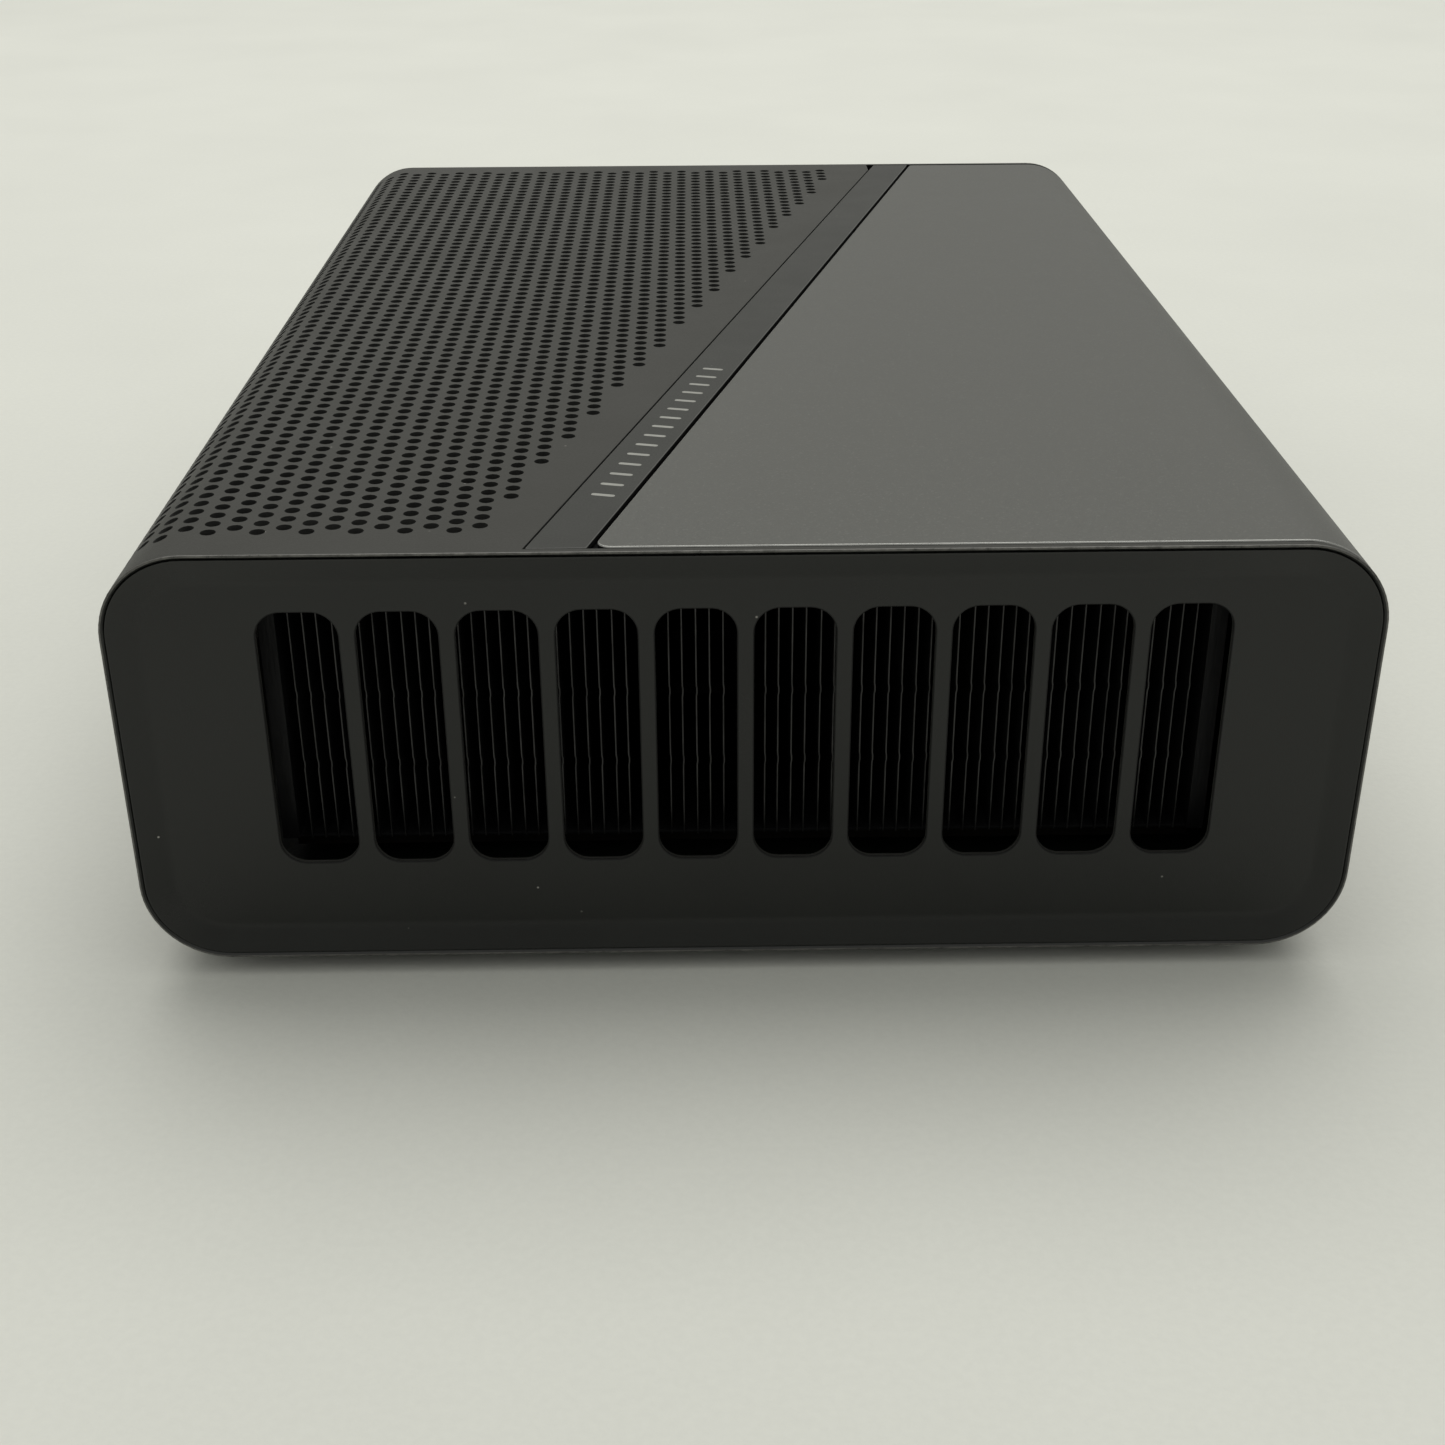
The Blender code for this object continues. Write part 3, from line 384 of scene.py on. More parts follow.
def over_housing(name, points, faces, thickness, looks, start=0.0):
    """Closed sheet that follows the housing, from a flat layout of (s, distance) points.

    Faces run anticlockwise. The top and the bottom of the sheet get the housing's own normals."""
    count = len(points)
    verts, normals = [], []
    for inset in (start, start + thickness):
        for s, distance in points:
            x, z = outline_at(s, inset)[:2]
            verts.append((x, depth_y(distance), z))
    for s, distance in points:
        normals.append(outline_at(s)[2:])
    directed = {(a, b) for face in faces for a, b in zip(face, face[1:] + face[:1])}
    border = [(a, b) for a, b in directed if (b, a) not in directed]
    border.sort()
    side = {}
    for a, b in border:
        ds, dd = points[b][0] - points[a][0], points[b][1] - points[a][1]
        size = math.hypot(ds, dd) or 1.0
        side[(a, b)] = (dd / size, -ds / size)
    starts = {a: (a, b) for a, b in border}
    ends = {b: (a, b) for a, b in border}

    def wall_normal(edge, corner):
        own = side[edge]
        other_edge = ends.get(corner) if corner == edge[0] else starts.get(corner)
        other = side[other_edge] if other_edge else own
        if own[0] * other[0] + own[1] * other[1] > 0.7:
            own = (own[0] + other[0], own[1] + other[1])
        nx, nz = normals[corner]
        vector = Vector((own[0] * nz, own[1], -own[0] * nx))
        return vector.normalized()

    all_faces, loop_normals, face_slots = [], [], []
    for face in faces:
        all_faces.append(tuple(face))
        loop_normals += [(normals[v][0], 0, normals[v][1]) for v in face]
        face_slots.append(0)
    for face in faces:
        under = tuple(reversed(face))
        all_faces.append(tuple(v + count for v in under))
        loop_normals += [(-normals[v][0], 0, -normals[v][1]) for v in under]
        face_slots.append(1 if len(looks) > 1 else 0)
    for a, b in border:
        all_faces.append((a, a + count, b + count, b))
        at_a, at_b = wall_normal((a, b), a), wall_normal((a, b), b)
        loop_normals += [at_a, at_a, at_b, at_b]
        face_slots.append(2 if len(looks) > 2 else 0)
    mesh = bpy.data.meshes.new(name)
    mesh.from_pydata(verts, [], all_faces)
    mesh.polygons.foreach_set("material_index", face_slots)
    mesh.shade_smooth()
    mesh.normals_split_custom_set(loop_normals)
    return make_object(name, mesh, looks)


def clip(polygon, inside, meet):
    """Part of a flat polygon where inside(point) is at least 0."""
    kept = []
    for a, b in zip(polygon, polygon[1:] + polygon[:1]):
        da, db = inside(a), inside(b)
        if da >= -1e-9:
            kept.append(a)
        if (da > 1e-9 and db < -1e-9) or (da < -1e-9 and db > 1e-9):
            share = da / (da - db)
            kept.append(meet(a, b, share))
    return kept


def between(a, b, share):
    return (a[0] + (b[0] - a[0]) * share, a[1] + (b[1] - a[1]) * share)


def rounded(width, height, radius, x, z, steps):
    """Rectangle with round corners, anticlockwise."""
    radius = min(radius, 0.4999 * width, 0.4999 * height)
    points = []
    for side_u, side_v, start in ((1, 1, 0), (-1, 1, 90), (-1, -1, 180), (1, -1, 270)):
        cu, cv = x + side_u * (width / 2 - radius), z + side_v * (height / 2 - radius)
        for step in range(steps + 1):
            angle = math.radians(start + 90 * step / steps)
            points.append((cu + radius * math.cos(angle), cv + radius * math.sin(angle)))
    return points


def section(inset):
    """Outline of the housing's cross-section, moved inwards."""
    return rounded(2 * (HALF_W - inset), TOP_Z - BASE_Z - 2 * inset, RADIUS - inset,
                   0, MID_Z, ARC_STEPS)


def ring(bm, outline, y):
    return [bm.verts.new((u, y, v)) for u, v in outline]


def bridge(bm, first, second, slot=0):
    count = len(first)
    for index in range(count):
        after = (index + 1) % count
        face = bm.faces.new((first[index], first[after], second[after], second[index]))
        face.material_index = slot


def fill(bm, loops, slot=0):
    """Flat face between an outer loop and the loops of its holes."""
    edges = []
    for loop in loops:
        for a, b in zip(loop, loop[1:] + loop[:1]):
            edges.append(bm.edges.get((a, b)) or bm.edges.new((a, b)))
    made = bmesh.ops.triangle_fill(bm, use_beauty=True, edges=edges)
    for item in made["geom"]:
        if isinstance(item, bmesh.types.BMFace):
            item.material_index = slot


def revolve(bm, profile, centre, axis, steps, slots=None):
    """Closed turned solid: profile is (radius, height) from one end of the axis to the other."""
    def place(radius, height, angle):
        u, v = radius * math.cos(angle), radius * math.sin(angle)
        if axis == "Z":
            return (centre[0] + u, centre[1] + v, centre[2] + height)
        return (centre[0] + u, centre[1] + height, centre[2] + v)
    rings = []
    for radius, height in profile:
        if radius < 1e-9:
            rings.append([bm.verts.new(place(0, height, 0))])
        else:
            rings.append([bm.verts.new(place(radius, height, 2 * math.pi * k / steps))
                          for k in range(steps)])
    for number, (a, b) in enumerate(zip(rings, rings[1:])):
        slot = slots[number] if slots else 0
        for k in range(steps):
            after = (k + 1) % steps
            if len(a) == 1:
                face = bm.faces.new((a[0], b[k], b[after]))
            elif len(b) == 1:
                face = bm.faces.new((a[k], a[after], b[0]))
            else:
                face = bm.faces.new((a[k], a[after], b[after], b[k]))
            face.material_index = slot


def box(bm, low, high, slot=0):
    made = bmesh.ops.create_cube(bm, size=1)["verts"]
    for vert in made:
        vert.co = Vector([(l + h) / 2 + c * (h - l) for l, h, c in zip(low, high, vert.co)])
    for face in {f for v in made for f in v.link_faces}:
        face.material_index = slot


def soften(obj, width, segments, degrees):
    """Round an object's edges in its own mesh."""
    modifier = obj.modifiers.new("edges", "BEVEL")
    modifier.width = width
    modifier.segments = segments
    modifier.limit_method = "ANGLE"
    modifier.angle_limit = math.radians(degrees)
    apply_modifiers(obj)
    obj.data.shade_smooth()
    obj.data.set_sharp_from_angle(angle=math.radians(degrees))


def apply_modifiers(obj):
    graph = bpy.context.evaluated_depsgraph_get()
    mesh = bpy.data.meshes.new_from_object(obj.evaluated_get(graph))
    obj.modifiers.clear()
    old = obj.data
    obj.data = mesh
    bpy.data.meshes.remove(old)


def cut(obj, tools):
    """Subtract the tools, and remove them."""
    for tool in tools:
        modifier = obj.modifiers.new(tool.name, "BOOLEAN")
        modifier.operation = "DIFFERENCE"
        modifier.solver = "EXACT"
        modifier.object = tool
    apply_modifiers(obj)
    for tool in tools:
        bpy.data.objects.remove(tool)
    obj.data.shade_smooth()
    obj.data.set_sharp_from_angle(angle=math.radians(35))


# ---------------------------------------------------------------- sleeve

def has_hole(column, row):
    s, distance = COLUMN_0 + COLUMN * column, ROW_0 + ROW * row
    return (0 <= row <= LAST_ROW and column >= FIRST_COLUMN
            and STRIP_LEFT + DIAGONAL * distance - s >= HOLE_MARGIN)


SKIN_START = COLUMN_0 + COLUMN * (FIRST_COLUMN - 1.5)


def make_perforated_skin():
    """The sheet with the holes: top left of the strip, left round edge and left side."""
    points, faces, known = [], [], {}

    def point(s, distance):
        key = (round(s * 1e8), round(distance * 1e8))
        if key not in known:
            known[key] = len(points)
            points.append((s, distance))
        return known[key]

    front, back = TRIM_MARGIN, 2 * HALF_D - TRIM_MARGIN

    def seam(p):
        return STRIP_LEFT - FINE_GAP + DIAGONAL * p[1] - p[0]

    for column in range(FIRST_COLUMN - 1, LAST_COLUMN + 1):
        middle = COLUMN_0 + COLUMN * column
        left, right = middle - COLUMN / 2, middle + COLUMN / 2
        for row in range(-6, LAST_ROW + 8):
            if (column + row) % 2:
                continue
            centre = ROW_0 + ROW * row
            near, far = centre - ROW, centre + ROW
            if has_hole(column, row):
                outer = [point(*p) for p in (
                    (right, centre), (right, far), (middle, far), (left, far),
                    (left, centre), (left, near), (middle, near), (right, near))]
                inner = [point(middle + HOLE_RADIUS * math.cos(math.pi * k / 6),
                               centre + HOLE_RADIUS * math.sin(math.pi * k / 6))
                         for k in range(12)]
                for quarter in range(4):
                    first, corner = outer[2 * quarter], outer[2 * quarter + 1]
                    last = outer[(2 * quarter + 2) % 8]
                    arc = [inner[(3 * quarter + k) % 12] for k in range(4)]
                    faces += [[first, corner, arc[1], arc[0]], [corner, arc[2], arc[1]],
                              [corner, last, arc[3], arc[2]]]
                continue
            for half in ([(left, near), (middle, near), (middle, far), (left, far),
                          (left, centre)],
                         [(middle, near), (right, near), (right, centre), (right, far),
                          (middle, far)]):
                shape = clip(half, seam, between)
                shape = clip(shape, lambda p: p[1] - front, between) if shape else shape
                shape = clip(shape, lambda p: back - p[1], between) if shape else shape
                indices = []
                for p in shape:
                    index = point(*p)
                    if index not in indices:
                        indices.append(index)
                if len(indices) > 2:
                    faces.append(indices)
    skin = over_housing("perforated_skin", points, faces, SKIN,
                        ["shell", "shell_inner", "shell_inner"])
    declare(skin, "shell_paint", "outer_sleeve")


def in_mm(*pairs):
    return [(u * MM, v * MM) for u, v in pairs]


def behind(face, *pairs):
    """Profile of (radius, depth behind the face) pairs in millimetres."""
    return [(radius * MM, face - depth * MM) for radius, depth in pairs]


def rounding(radius):
    """Quarter circle from the side face to the end face, as (distance, inset)."""
    return [(radius * (1 - math.sin(a)), radius * (1 - math.cos(a)))
            for a in (math.pi / 2 * k / 4 for k in range(5))]


def make_mouth(name, end):
    """Ring of the sleeve round one end: outer face, worn edge with a painted highlight, lip, and
    slanted seat in painted shade.
    """
    profile = [(TRIM_MARGIN, 0.0)] + rounding(0.13 * MM)
    profile += [(0.0, 0.17 * MM), (0.02 * MM, 0.20 * MM), (0.26 * MM, 0.42 * MM),
                (1.9 * MM, WALL), (2.6 * MM, WALL), (2.6 * MM, SKIN), (TRIM_MARGIN, SKIN)]
    bm = bmesh.new()
    rings = [ring(bm, section(inset), end * (HALF_D - distance)) for distance, inset in profile]
    for number in range(len(rings)):
        # Slot 1 is the worn edge with its painted highlight; slots 2 and 3, the groove wall and
        # the seat, are darkened as painted shade.
        slot = (0, 1, 1, 1, 1, 1, 1, 2, 3, 3, 3, 3, 3)[number]
        bridge(bm, rings[number], rings[(number + 1) % len(rings)], slot)
    mouth = from_bmesh(name, bm, ["shell", "shell_edge", "bezel_edge", "seam"], 50)
    declare(mouth, "shell_paint", "outer_sleeve")


def foot_centres():
    for name in ("foot_front_left", "foot_front_right", "foot_rear_left", "foot_rear_right"):
        low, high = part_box(name)
        yield name, (low + high) / 2


def make_lower_sleeve():
    """Sides and bottom of the sleeve below the holes and the plate, with vents and recesses."""
    bm = bmesh.new()
    total = 2 * (FLAT + ARC + SIDE + ARC + FLAT)
    first, last = POCKET_END, total + SKIN_START
    stops = [first] + [m for m in wrap_marks(first, last, total)] + [last]
    outer, inner = [], []
    for s in stops:
        around = s if s <= total / 2 else s - total
        outer.append(outline_at(around)[:2])
        inner.append(outline_at(around, WALL)[:2])
    loop = outer + inner[::-1]
    near = ring(bm, loop, depth_y(TRIM_MARGIN))
    far = ring(bm, loop, -depth_y(TRIM_MARGIN))
    bridge(bm, near, far)
    count = len(stops)
    for end in (near, far):
        for k in range(count - 1):
            bm.faces.new((end[k], end[k + 1], end[2 * count - 2 - k], end[2 * count - 1 - k]))
    lower = from_bmesh("sleeve_underside", bm, ["shell", "shell_inner"])
    tools = []
    for name, centre in foot_centres():
        bm = bmesh.new()
        revolve(bm, in_mm((0, -1.2), (5.3, -1.2), (5.3, 0.8), (0, 0.8)),
                (centre.x, centre.y, BASE_Z), "Z", 48)
        tools.append(from_bmesh(f"{name}_recess", bm, []))
    for index in range(1, 5):
        low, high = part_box(f"base_screw_{index}")
        centre = (low + high) / 2
        bm = bmesh.new()
        revolve(bm, in_mm((0, -3), (2.3, -3), (2.3, 1.3), (1.3, 1.3), (1.3, 4), (0, 4)),
                (centre.x, centre.y, BASE_Z), "Z", 32)
        tools.append(from_bmesh(f"base_sink_{index}", bm, []))
    for index in range(9):
        x = (index - 4) * 6 * MM
        bm = bmesh.new()
        outline = rounded(2.4 * MM, 26 * MM, 1.2 * MM, x, depth_y(118 * MM), 6)
        rings = [[bm.verts.new((u, v, z)) for u, v in outline]
                 for z in (BASE_Z - WALL, BASE_Z + 2 * WALL)]
        bridge(bm, *rings)
        for loop in rings:
            bm.faces.new(loop)
        tools.append(from_bmesh(f"base_vent_{index}", bm, []))
    cut(lower, tools)
    soften(lower, 0.12 * MM, 2, 50)
    declare(lower, "shell_paint", "outer_sleeve")


def wrap_marks(first, last, total):
    marks = []
    for mark in arc_marks(-total, total):
        for value in (mark, mark + total):
            if first + SMALL < value < last - SMALL:
                marks.append(value)
    return sorted(set(marks))


def make_pocket():
    """Bed under the strip and the plate."""
    near, far = TRIM_MARGIN, 2 * HALF_D - TRIM_MARGIN
    points = [(STRIP_LEFT - 3 * GAP + DIAGONAL * near, near)]
    marks = arc_marks(0, POCKET_END) + [POCKET_END]
    points += [(m, near) for m in marks]
    count = len(points)
    points += [(STRIP_LEFT - 3 * GAP + DIAGONAL * far, far)] + [(m, far) for m in marks]
    faces = [[k, k + 1, k + 1 + count, k + count] for k in range(count - 1)]
    bed = over_housing("trim_bed", points, faces, SKIN - POCKET_DEPTH, ["seam"],
                       start=POCKET_DEPTH)
    declare(bed, "shell_paint", "outer_sleeve")


def make_bosses():
    """Screw bosses in the sleeve's corners behind the rear panel."""
    bm = bmesh.new()
    for index in range(1, 5):
        low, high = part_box(f"rear_screw_{index}")
        centre = (low + high) / 2
        end = HALF_D - 2.9 * MM
        revolve(bm, [(1.3 * MM, end - 12 * MM), (2.6 * MM, end - 12 * MM), (2.6 * MM, end),
                     (1.3 * MM, end), (1.3 * MM, end - 12 * MM)], (centre.x, 0, centre.z), "Y", 28)
    bmesh.ops.remove_doubles(bm, verts=bm.verts, dist=SMALL)
    bosses = from_bmesh("sleeve_bosses", bm, ["shell_inner"])
    declare(bosses, "shell_paint", "outer_sleeve")


# ---------------------------------------------------------------- bezel and rear panel

def make_end_cap(name, end, edge, panel, holes, looks, fillet, hollow=None):
    """Cap in one end of the sleeve.

    edge runs (depth, inset) from the skirt to the panel's front face, panel is the depth of
    its front and back face, holes are (width, height, radius, x, z, steps)."""
    bm = bmesh.new()

    def y_at(depth):
        return end * (HALF_D - depth)

    rings = [ring(bm, section(inset), y_at(depth)) for depth, inset in edge]
    for number, (a, b) in enumerate(zip(rings, rings[1:])):
        bridge(bm, a, b, 1 if number in (2, 3, 4) else 0)
    front_loops, back_loops = [rings[-1]], []
    front, back = panel
    for width, height, radius, x, z, steps in holes:
        levels = [(front + d, f) for d, f in
                  ((fillet * (1 - math.cos(a)), fillet * (1 - math.sin(a)))
                   for a in (math.pi / 2 * k / 4 for k in range(5)))]
        levels += [(back - 0.1 * MM, 0.0), (back, 0.1 * MM)]
        walls = []
        for depth, grow in levels:
            outline = rounded(width + 2 * grow, height + 2 * grow, radius + grow, x, z, steps)
            walls.append(ring(bm, outline, y_at(depth)))
        for number, (a, b) in enumerate(zip(walls, walls[1:])):
            bridge(bm, a, b, 2 if number < 4 else 3)
        front_loops.append(walls[0])
        back_loops.append(walls[-1])
    fill(bm, front_loops)
    if hollow:
        inset = hollow
        inner = ring(bm, section(inset), y_at(back))
        inner_end = ring(bm, section(inset), y_at(edge[0][0]))
        bridge(bm, inner, inner_end)
        bridge(bm, inner_end, rings[0])
        fill(bm, [inner] + back_loops)
    else:
        fill(bm, [rings[0]] + back_loops)
    return keep_ends_flat(from_bmesh(name, bm, looks, 40))


def slot_centres():
    for index in range(1, 11):
        low, high = openings[f"exhaust_slot_{index}"]
        yield (low[0] + high[0]) / 2


openings = {o["name"]: (o["box_m"][0], o["box_m"][1])
            for o in frame["record"]["physics"]["openings"] if o["name"].startswith("exhaust")}


def make_bezel():
    edge = in_mm((4, 2.3), (1.9, 2.3), (0.27, 0.48), (0.15, 0.48), (0.115, 0.51), (0.11, 0.57),
                 (0.14, 0.68), (0.73, 2.45), (0.82, 2.74), (0.88, 3.02), (0.90, 3.3))
    z = BASE_Z + 21.95 * MM
    holes = [(7.05 * MM, 24.7 * MM, 2.3 * MM, x, z, 10) for x in slot_centres()]
    # The slots' walls take the paler slot_rim_highlight look, a painted highlight.
    bezel = make_end_cap("slotted_bezel", -1, edge, (0.9 * MM, 1.45 * MM), holes,
                         ["bezel", "bezel_edge", "slot_wall", "slot_rim_highlight"], 0.13 * MM,
                         hollow=3.5 * MM)
    declare(bezel, "bezel_plastic", "front_bezel")


# Width, height and corner radius of each kind of mouth, and how many stand on each other
SOCKETS = {
    "displayport_stack": (17.0, 6.0, 0.6, 2, 20),
    "hdmi_stack": (15.2, 6.0, 0.8, 2, 19),
    "usb_c_socket": (9.0, 3.3, 1.6, 1, 12),
    "oculink_socket": (14.6, 5.6, 0.5, 1, 21),
}
STACK_STEP = 11 * MM


def mouths(name):
    """Centres of a socket's mouths, from its CAD box."""
    _, height, _, count, _ = SOCKETS[name]
    low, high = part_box(name)
    for level in range(count):
        yield (low.x + high.x) / 2, high.z - height * MM / 2 - level * STACK_STEP


def round_centre(name):
    """Centre and radius of a round CAD piece that faces the rear."""
    low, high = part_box(name)
    radius = (high.x - low.x) / 2
    return (low.x + high.x) / 2, high.z - radius, radius


def make_rear_panel():
    edge = in_mm((2.4, 2.3), (1.9, 2.3), (0.27, 0.48), (0.15, 0.48), (0.11, 0.51), (0.10, 0.58))
    holes = []
    for name, (width, height, radius, _, _) in SOCKETS.items():
        for x, z in mouths(name):
            holes.append(((width + 0.6) * MM, (height + 0.6) * MM, (radius + 0.3) * MM, x, z, 6))
    for name, radius in (("dc_inlet", 5.7), ("power_button", 3.5), ("status_light_pipe", 1.4)):
        x, z, _ = round_centre(name)
        holes.append((2 * radius * MM, 2 * radius * MM, radius * MM, x, z, 10))
    for index in range(10):
        holes.append((2.0 * MM, 12 * MM, 1.0 * MM, (6 + 4 * index) * MM, BASE_Z + 27 * MM, 6))
    for index in range(1, 5):
        low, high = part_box(f"rear_screw_{index}")
        holes.append((4.6 * MM, 4.6 * MM, 2.3 * MM, (low.x + high.x) / 2, (low.z + high.z) / 2, 8))
    panel = make_end_cap("socket_panel", 1, edge, (0.1 * MM, 2.4 * MM), holes,
                         ["panel", "bezel_edge", "panel", "panel"], 0.2 * MM)
    declare(panel, "panel_plastic", "rear_panel")


# ---------------------------------------------------------------- trim

def offset_inwards(polygon, width):
    """Move an anticlockwise outline inwards."""
    moved = []
    count = len(polygon)
    for k, p in enumerate(polygon):
        before, after = polygon[k - 1], polygon[(k + 1) % count]
        first = (p[0] - before[0], p[1] - before[1])
        second = (after[0] - p[0], after[1] - p[1])
        la, lb = math.hypot(*first), math.hypot(*second)
        na, nb = (-first[1] / la, first[0] / la), (-second[1] / lb, second[0] / lb)
        mid = (na[0] + nb[0], na[1] + nb[1])
        length = math.hypot(*mid)
        mid = (mid[0] / length, mid[1] / length)
        reach = width / max(0.3, mid[0] * na[0] + mid[1] * na[1])
        moved.append((p[0] + mid[0] * reach, p[1] + mid[1] * reach))
    return moved


def round_corner(before, corner, after, radius):
    """Points of an arc that rounds one corner of a polygon."""
    a = (Vector(before) - Vector(corner)).normalized()
    b = (Vector(after) - Vector(corner)).normalized()
    half = a.angle(b) / 2
    start, end = Vector(corner) + a * (radius / math.tan(half)), \
        Vector(corner) + b * (radius / math.tan(half))
    centre = Vector(corner) + (a + b).normalized() * (radius / math.sin(half))
    points = []
    for k in range(7):
        spoke = (start - centre).lerp(end - centre, k / 6).normalized() * radius
        points.append(tuple(centre + spoke))
    return points


def make_trim_piece(name, corners, radii, looks, bevel, slot, node):
    """Sheet on the housing with bevelled edges; corners are (s, distance), anticlockwise.

    Its top gets the housing's own normals, so that the bevel doesn't tilt them."""
    outline = []
    count = len(corners)
    for k, corner in enumerate(corners):
        outline += round_corner(corners[k - 1], corner, corners[(k + 1) % count], radii[k])
    low_s, high_s = min(p[0] for p in outline), max(p[0] for p in outline)
    marks = arc_marks(max(low_s, 0), high_s, 24)
    refined = []
    for a, b in zip(outline, outline[1:] + outline[:1]):
        refined.append(a)
        crossing = [m for m in marks if min(a[0], b[0]) + SMALL < m < max(a[0], b[0]) - SMALL]
        crossing.sort(reverse=b[0] < a[0])
        refined += [between(a, b, (m - a[0]) / (b[0] - a[0])) for m in crossing]
    total = len(refined)
    steps = [(0.0, bevel), (0.25 * bevel, 0.5 * bevel), (bevel, 0.0), (TRIM_THICKNESS, 0.0)]
    layers = [(inset, offset_inwards(refined, move) if move else refined)
              for inset, move in steps]
    bm = bmesh.new()
    rings = []
    for inset, flat in layers:
        verts = []
        for s, distance in flat:
            x, z = outline_at(s, inset)[:2]
            verts.append(bm.verts.new((x, depth_y(distance), z)))
        rings.append(verts)
    for number, (a, b) in enumerate(zip(rings, rings[1:])):
        bridge(bm, a, b, 2 if number == 2 else 1)
    for number in (0, -1):
        verts, flat = rings[number], layers[number][1]
        bands = [low_s - 1] + marks + [high_s + 1]
        for low, high in zip(bands, bands[1:]):
            chosen = [verts[k] for k in range(total) if low - 1e-6 <= flat[k][0] <= high + 1e-6]
            if len(chosen) > 2:
                face = bm.faces.new(chosen)
                face.material_index = 0
    piece = from_bmesh(name, bm, looks, 30)
    across = [outline_at(s)[2:] for s, distance in layers[0][1]]
    set_normals(piece.data, {k: Vector((nx, 0, nz)) for k, (nx, nz) in enumerate(across)})
    declare(piece, slot, node)


def make_trim():
    near, far = TRIM_MARGIN + 0.4 * MM, 2 * HALF_D - TRIM_MARGIN - 0.4 * MM
    make_trim_piece("satin_plate", [
        (PLATE_LEFT + DIAGONAL * near, near), (PLATE_END, near), (PLATE_END, far),
        (PLATE_LEFT + DIAGONAL * far, far)], [1.2 * MM, 1.5 * MM, 1.5 * MM, 0.6 * MM],
        ["plate", "plate_edge", "seam"], 0.12 * MM, "inlay_metal", "inlay_plate")
    right = PLATE_LEFT - 1.5 * GAP
    near, far = TRIM_MARGIN + FINE_GAP, 2 * HALF_D - TRIM_MARGIN - FINE_GAP
    # The strip's bevel takes strip_edge_highlight, a painted highlight.
    make_trim_piece("diagonal_band", [
        (STRIP_LEFT + DIAGONAL * near, near), (right + DIAGONAL * near, near),
        (right + DIAGONAL * far, far), (STRIP_LEFT + DIAGONAL * far, far)], [0.15 * MM] * 4,
        ["strip", "strip_edge_highlight", "seam"], 0.06 * MM, "strip_plastic", "diagonal_strip")


def make_print():
    """Row of short pale dashes along the strip, where a print stands on the real one."""
    bm = bmesh.new()
    along = Vector((DIAGONAL, 1)).normalized()
    across = Vector((along.y, -along.x))
    count, first, last = 15, 13.4 * MM, 51.0 * MM
    for index in range(count):
        distance = first + (last - first) * index / (count - 1)
        centre = Vector((STRIP_LEFT + DIAGONAL * distance + 2.7 * MM, distance))
        outline = rounded(2.2 * MM, 0.55 * MM, 0.25 * MM, 0, 0, 4)
        rings = []
        for z in (TOP_Z - 0.02 * MM, TOP_Z + 0.012 * MM):
            verts = []
            for u, v in outline:
                place = centre + across * u + along * v
                verts.append(bm.verts.new((place.x, depth_y(place.y), z)))
            rings.append(verts)
            bm.faces.new(verts)
        bridge(bm, *rings)
    dashes = from_bmesh("strip_print", bm, ["print"])
    declare(dashes, "strip_plastic")


# ---------------------------------------------------------------- fins

def make_fins():
    """Thin folded fins that clip into each other, with a thick wall at each end."""
    low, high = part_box("fin_stack")
    bm = bmesh.new()
    half = 0.055 * MM
    floor, top = low.z + 0.3 * MM, high.z
    kink = 0.06 * MM
    marks = [(low.z, 0)]
    for middle in (17 * MM, 24 * MM):
        for rise, bend in ((-0.5, 0), (-0.25, kink), (0.25, kink), (0.5, 0)):
            marks.append((BASE_Z + middle + rise * MM, bend))
    marks.append((top, 0))
    rng = random.Random(4)
    for index in range(FIN_COUNT):
        x = (index - (FIN_COUNT - 1) / 2) * FIN_PITCH
        sway = rng.uniform(-0.06, 0.06) * MM
        front = low.y + rng.uniform(0.0, 0.15) * MM
        columns = []
        for y in (front, high.y):
            left = [bm.verts.new((x + sway + bend - half, y, z)) for z, bend in marks]
            right = [bm.verts.new((x + sway + bend + half, y, z)) for z, bend in marks]
            columns.append((left, right))
        (fl, fr), (bl, br) = columns
        for k in range(len(marks) - 1):
            # Front faces take fin_edge, the painted highlight.
            bm.faces.new((fl[k], fr[k], fr[k + 1], fl[k + 1])).material_index = 1
            bm.faces.new((bl[k], bl[k + 1], br[k + 1], br[k]))
            bm.faces.new((fl[k], fl[k + 1], bl[k + 1], bl[k]))
            bm.faces.new((fr[k], br[k], br[k + 1], fr[k + 1]))
        bm.faces.new((fl[0], bl[0], br[0], fr[0]))
        bm.faces.new((fl[-1], fr[-1], br[-1], bl[-1]))
        for z in (floor - 0.2 * MM, top - 0.2 * MM):
            box(bm, (x + half, low.y + 0.2 * MM, z),
                (x + FIN_PITCH - half, high.y, z + 0.2 * MM))
    for side in (-1, 1):
        span = (FIN_COUNT + 1) / 2 * FIN_PITCH
        inner, outer = side * span, side * (span + FIN_WALL)
        box(bm, (min(inner, outer), low.y, low.z), (max(inner, outer), high.y, high.z))
    box(bm, (low.x + FIN_WALL, low.y + 0.3 * MM, low.z),
        (high.x - FIN_WALL, high.y, floor - 0.2 * MM))
    fins = from_bmesh("folded_fins", bm, ["fin", "fin_edge"], 30)
    declare(fins, "fin_metal", "fin_stack")


# ---------------------------------------------------------------- small pieces

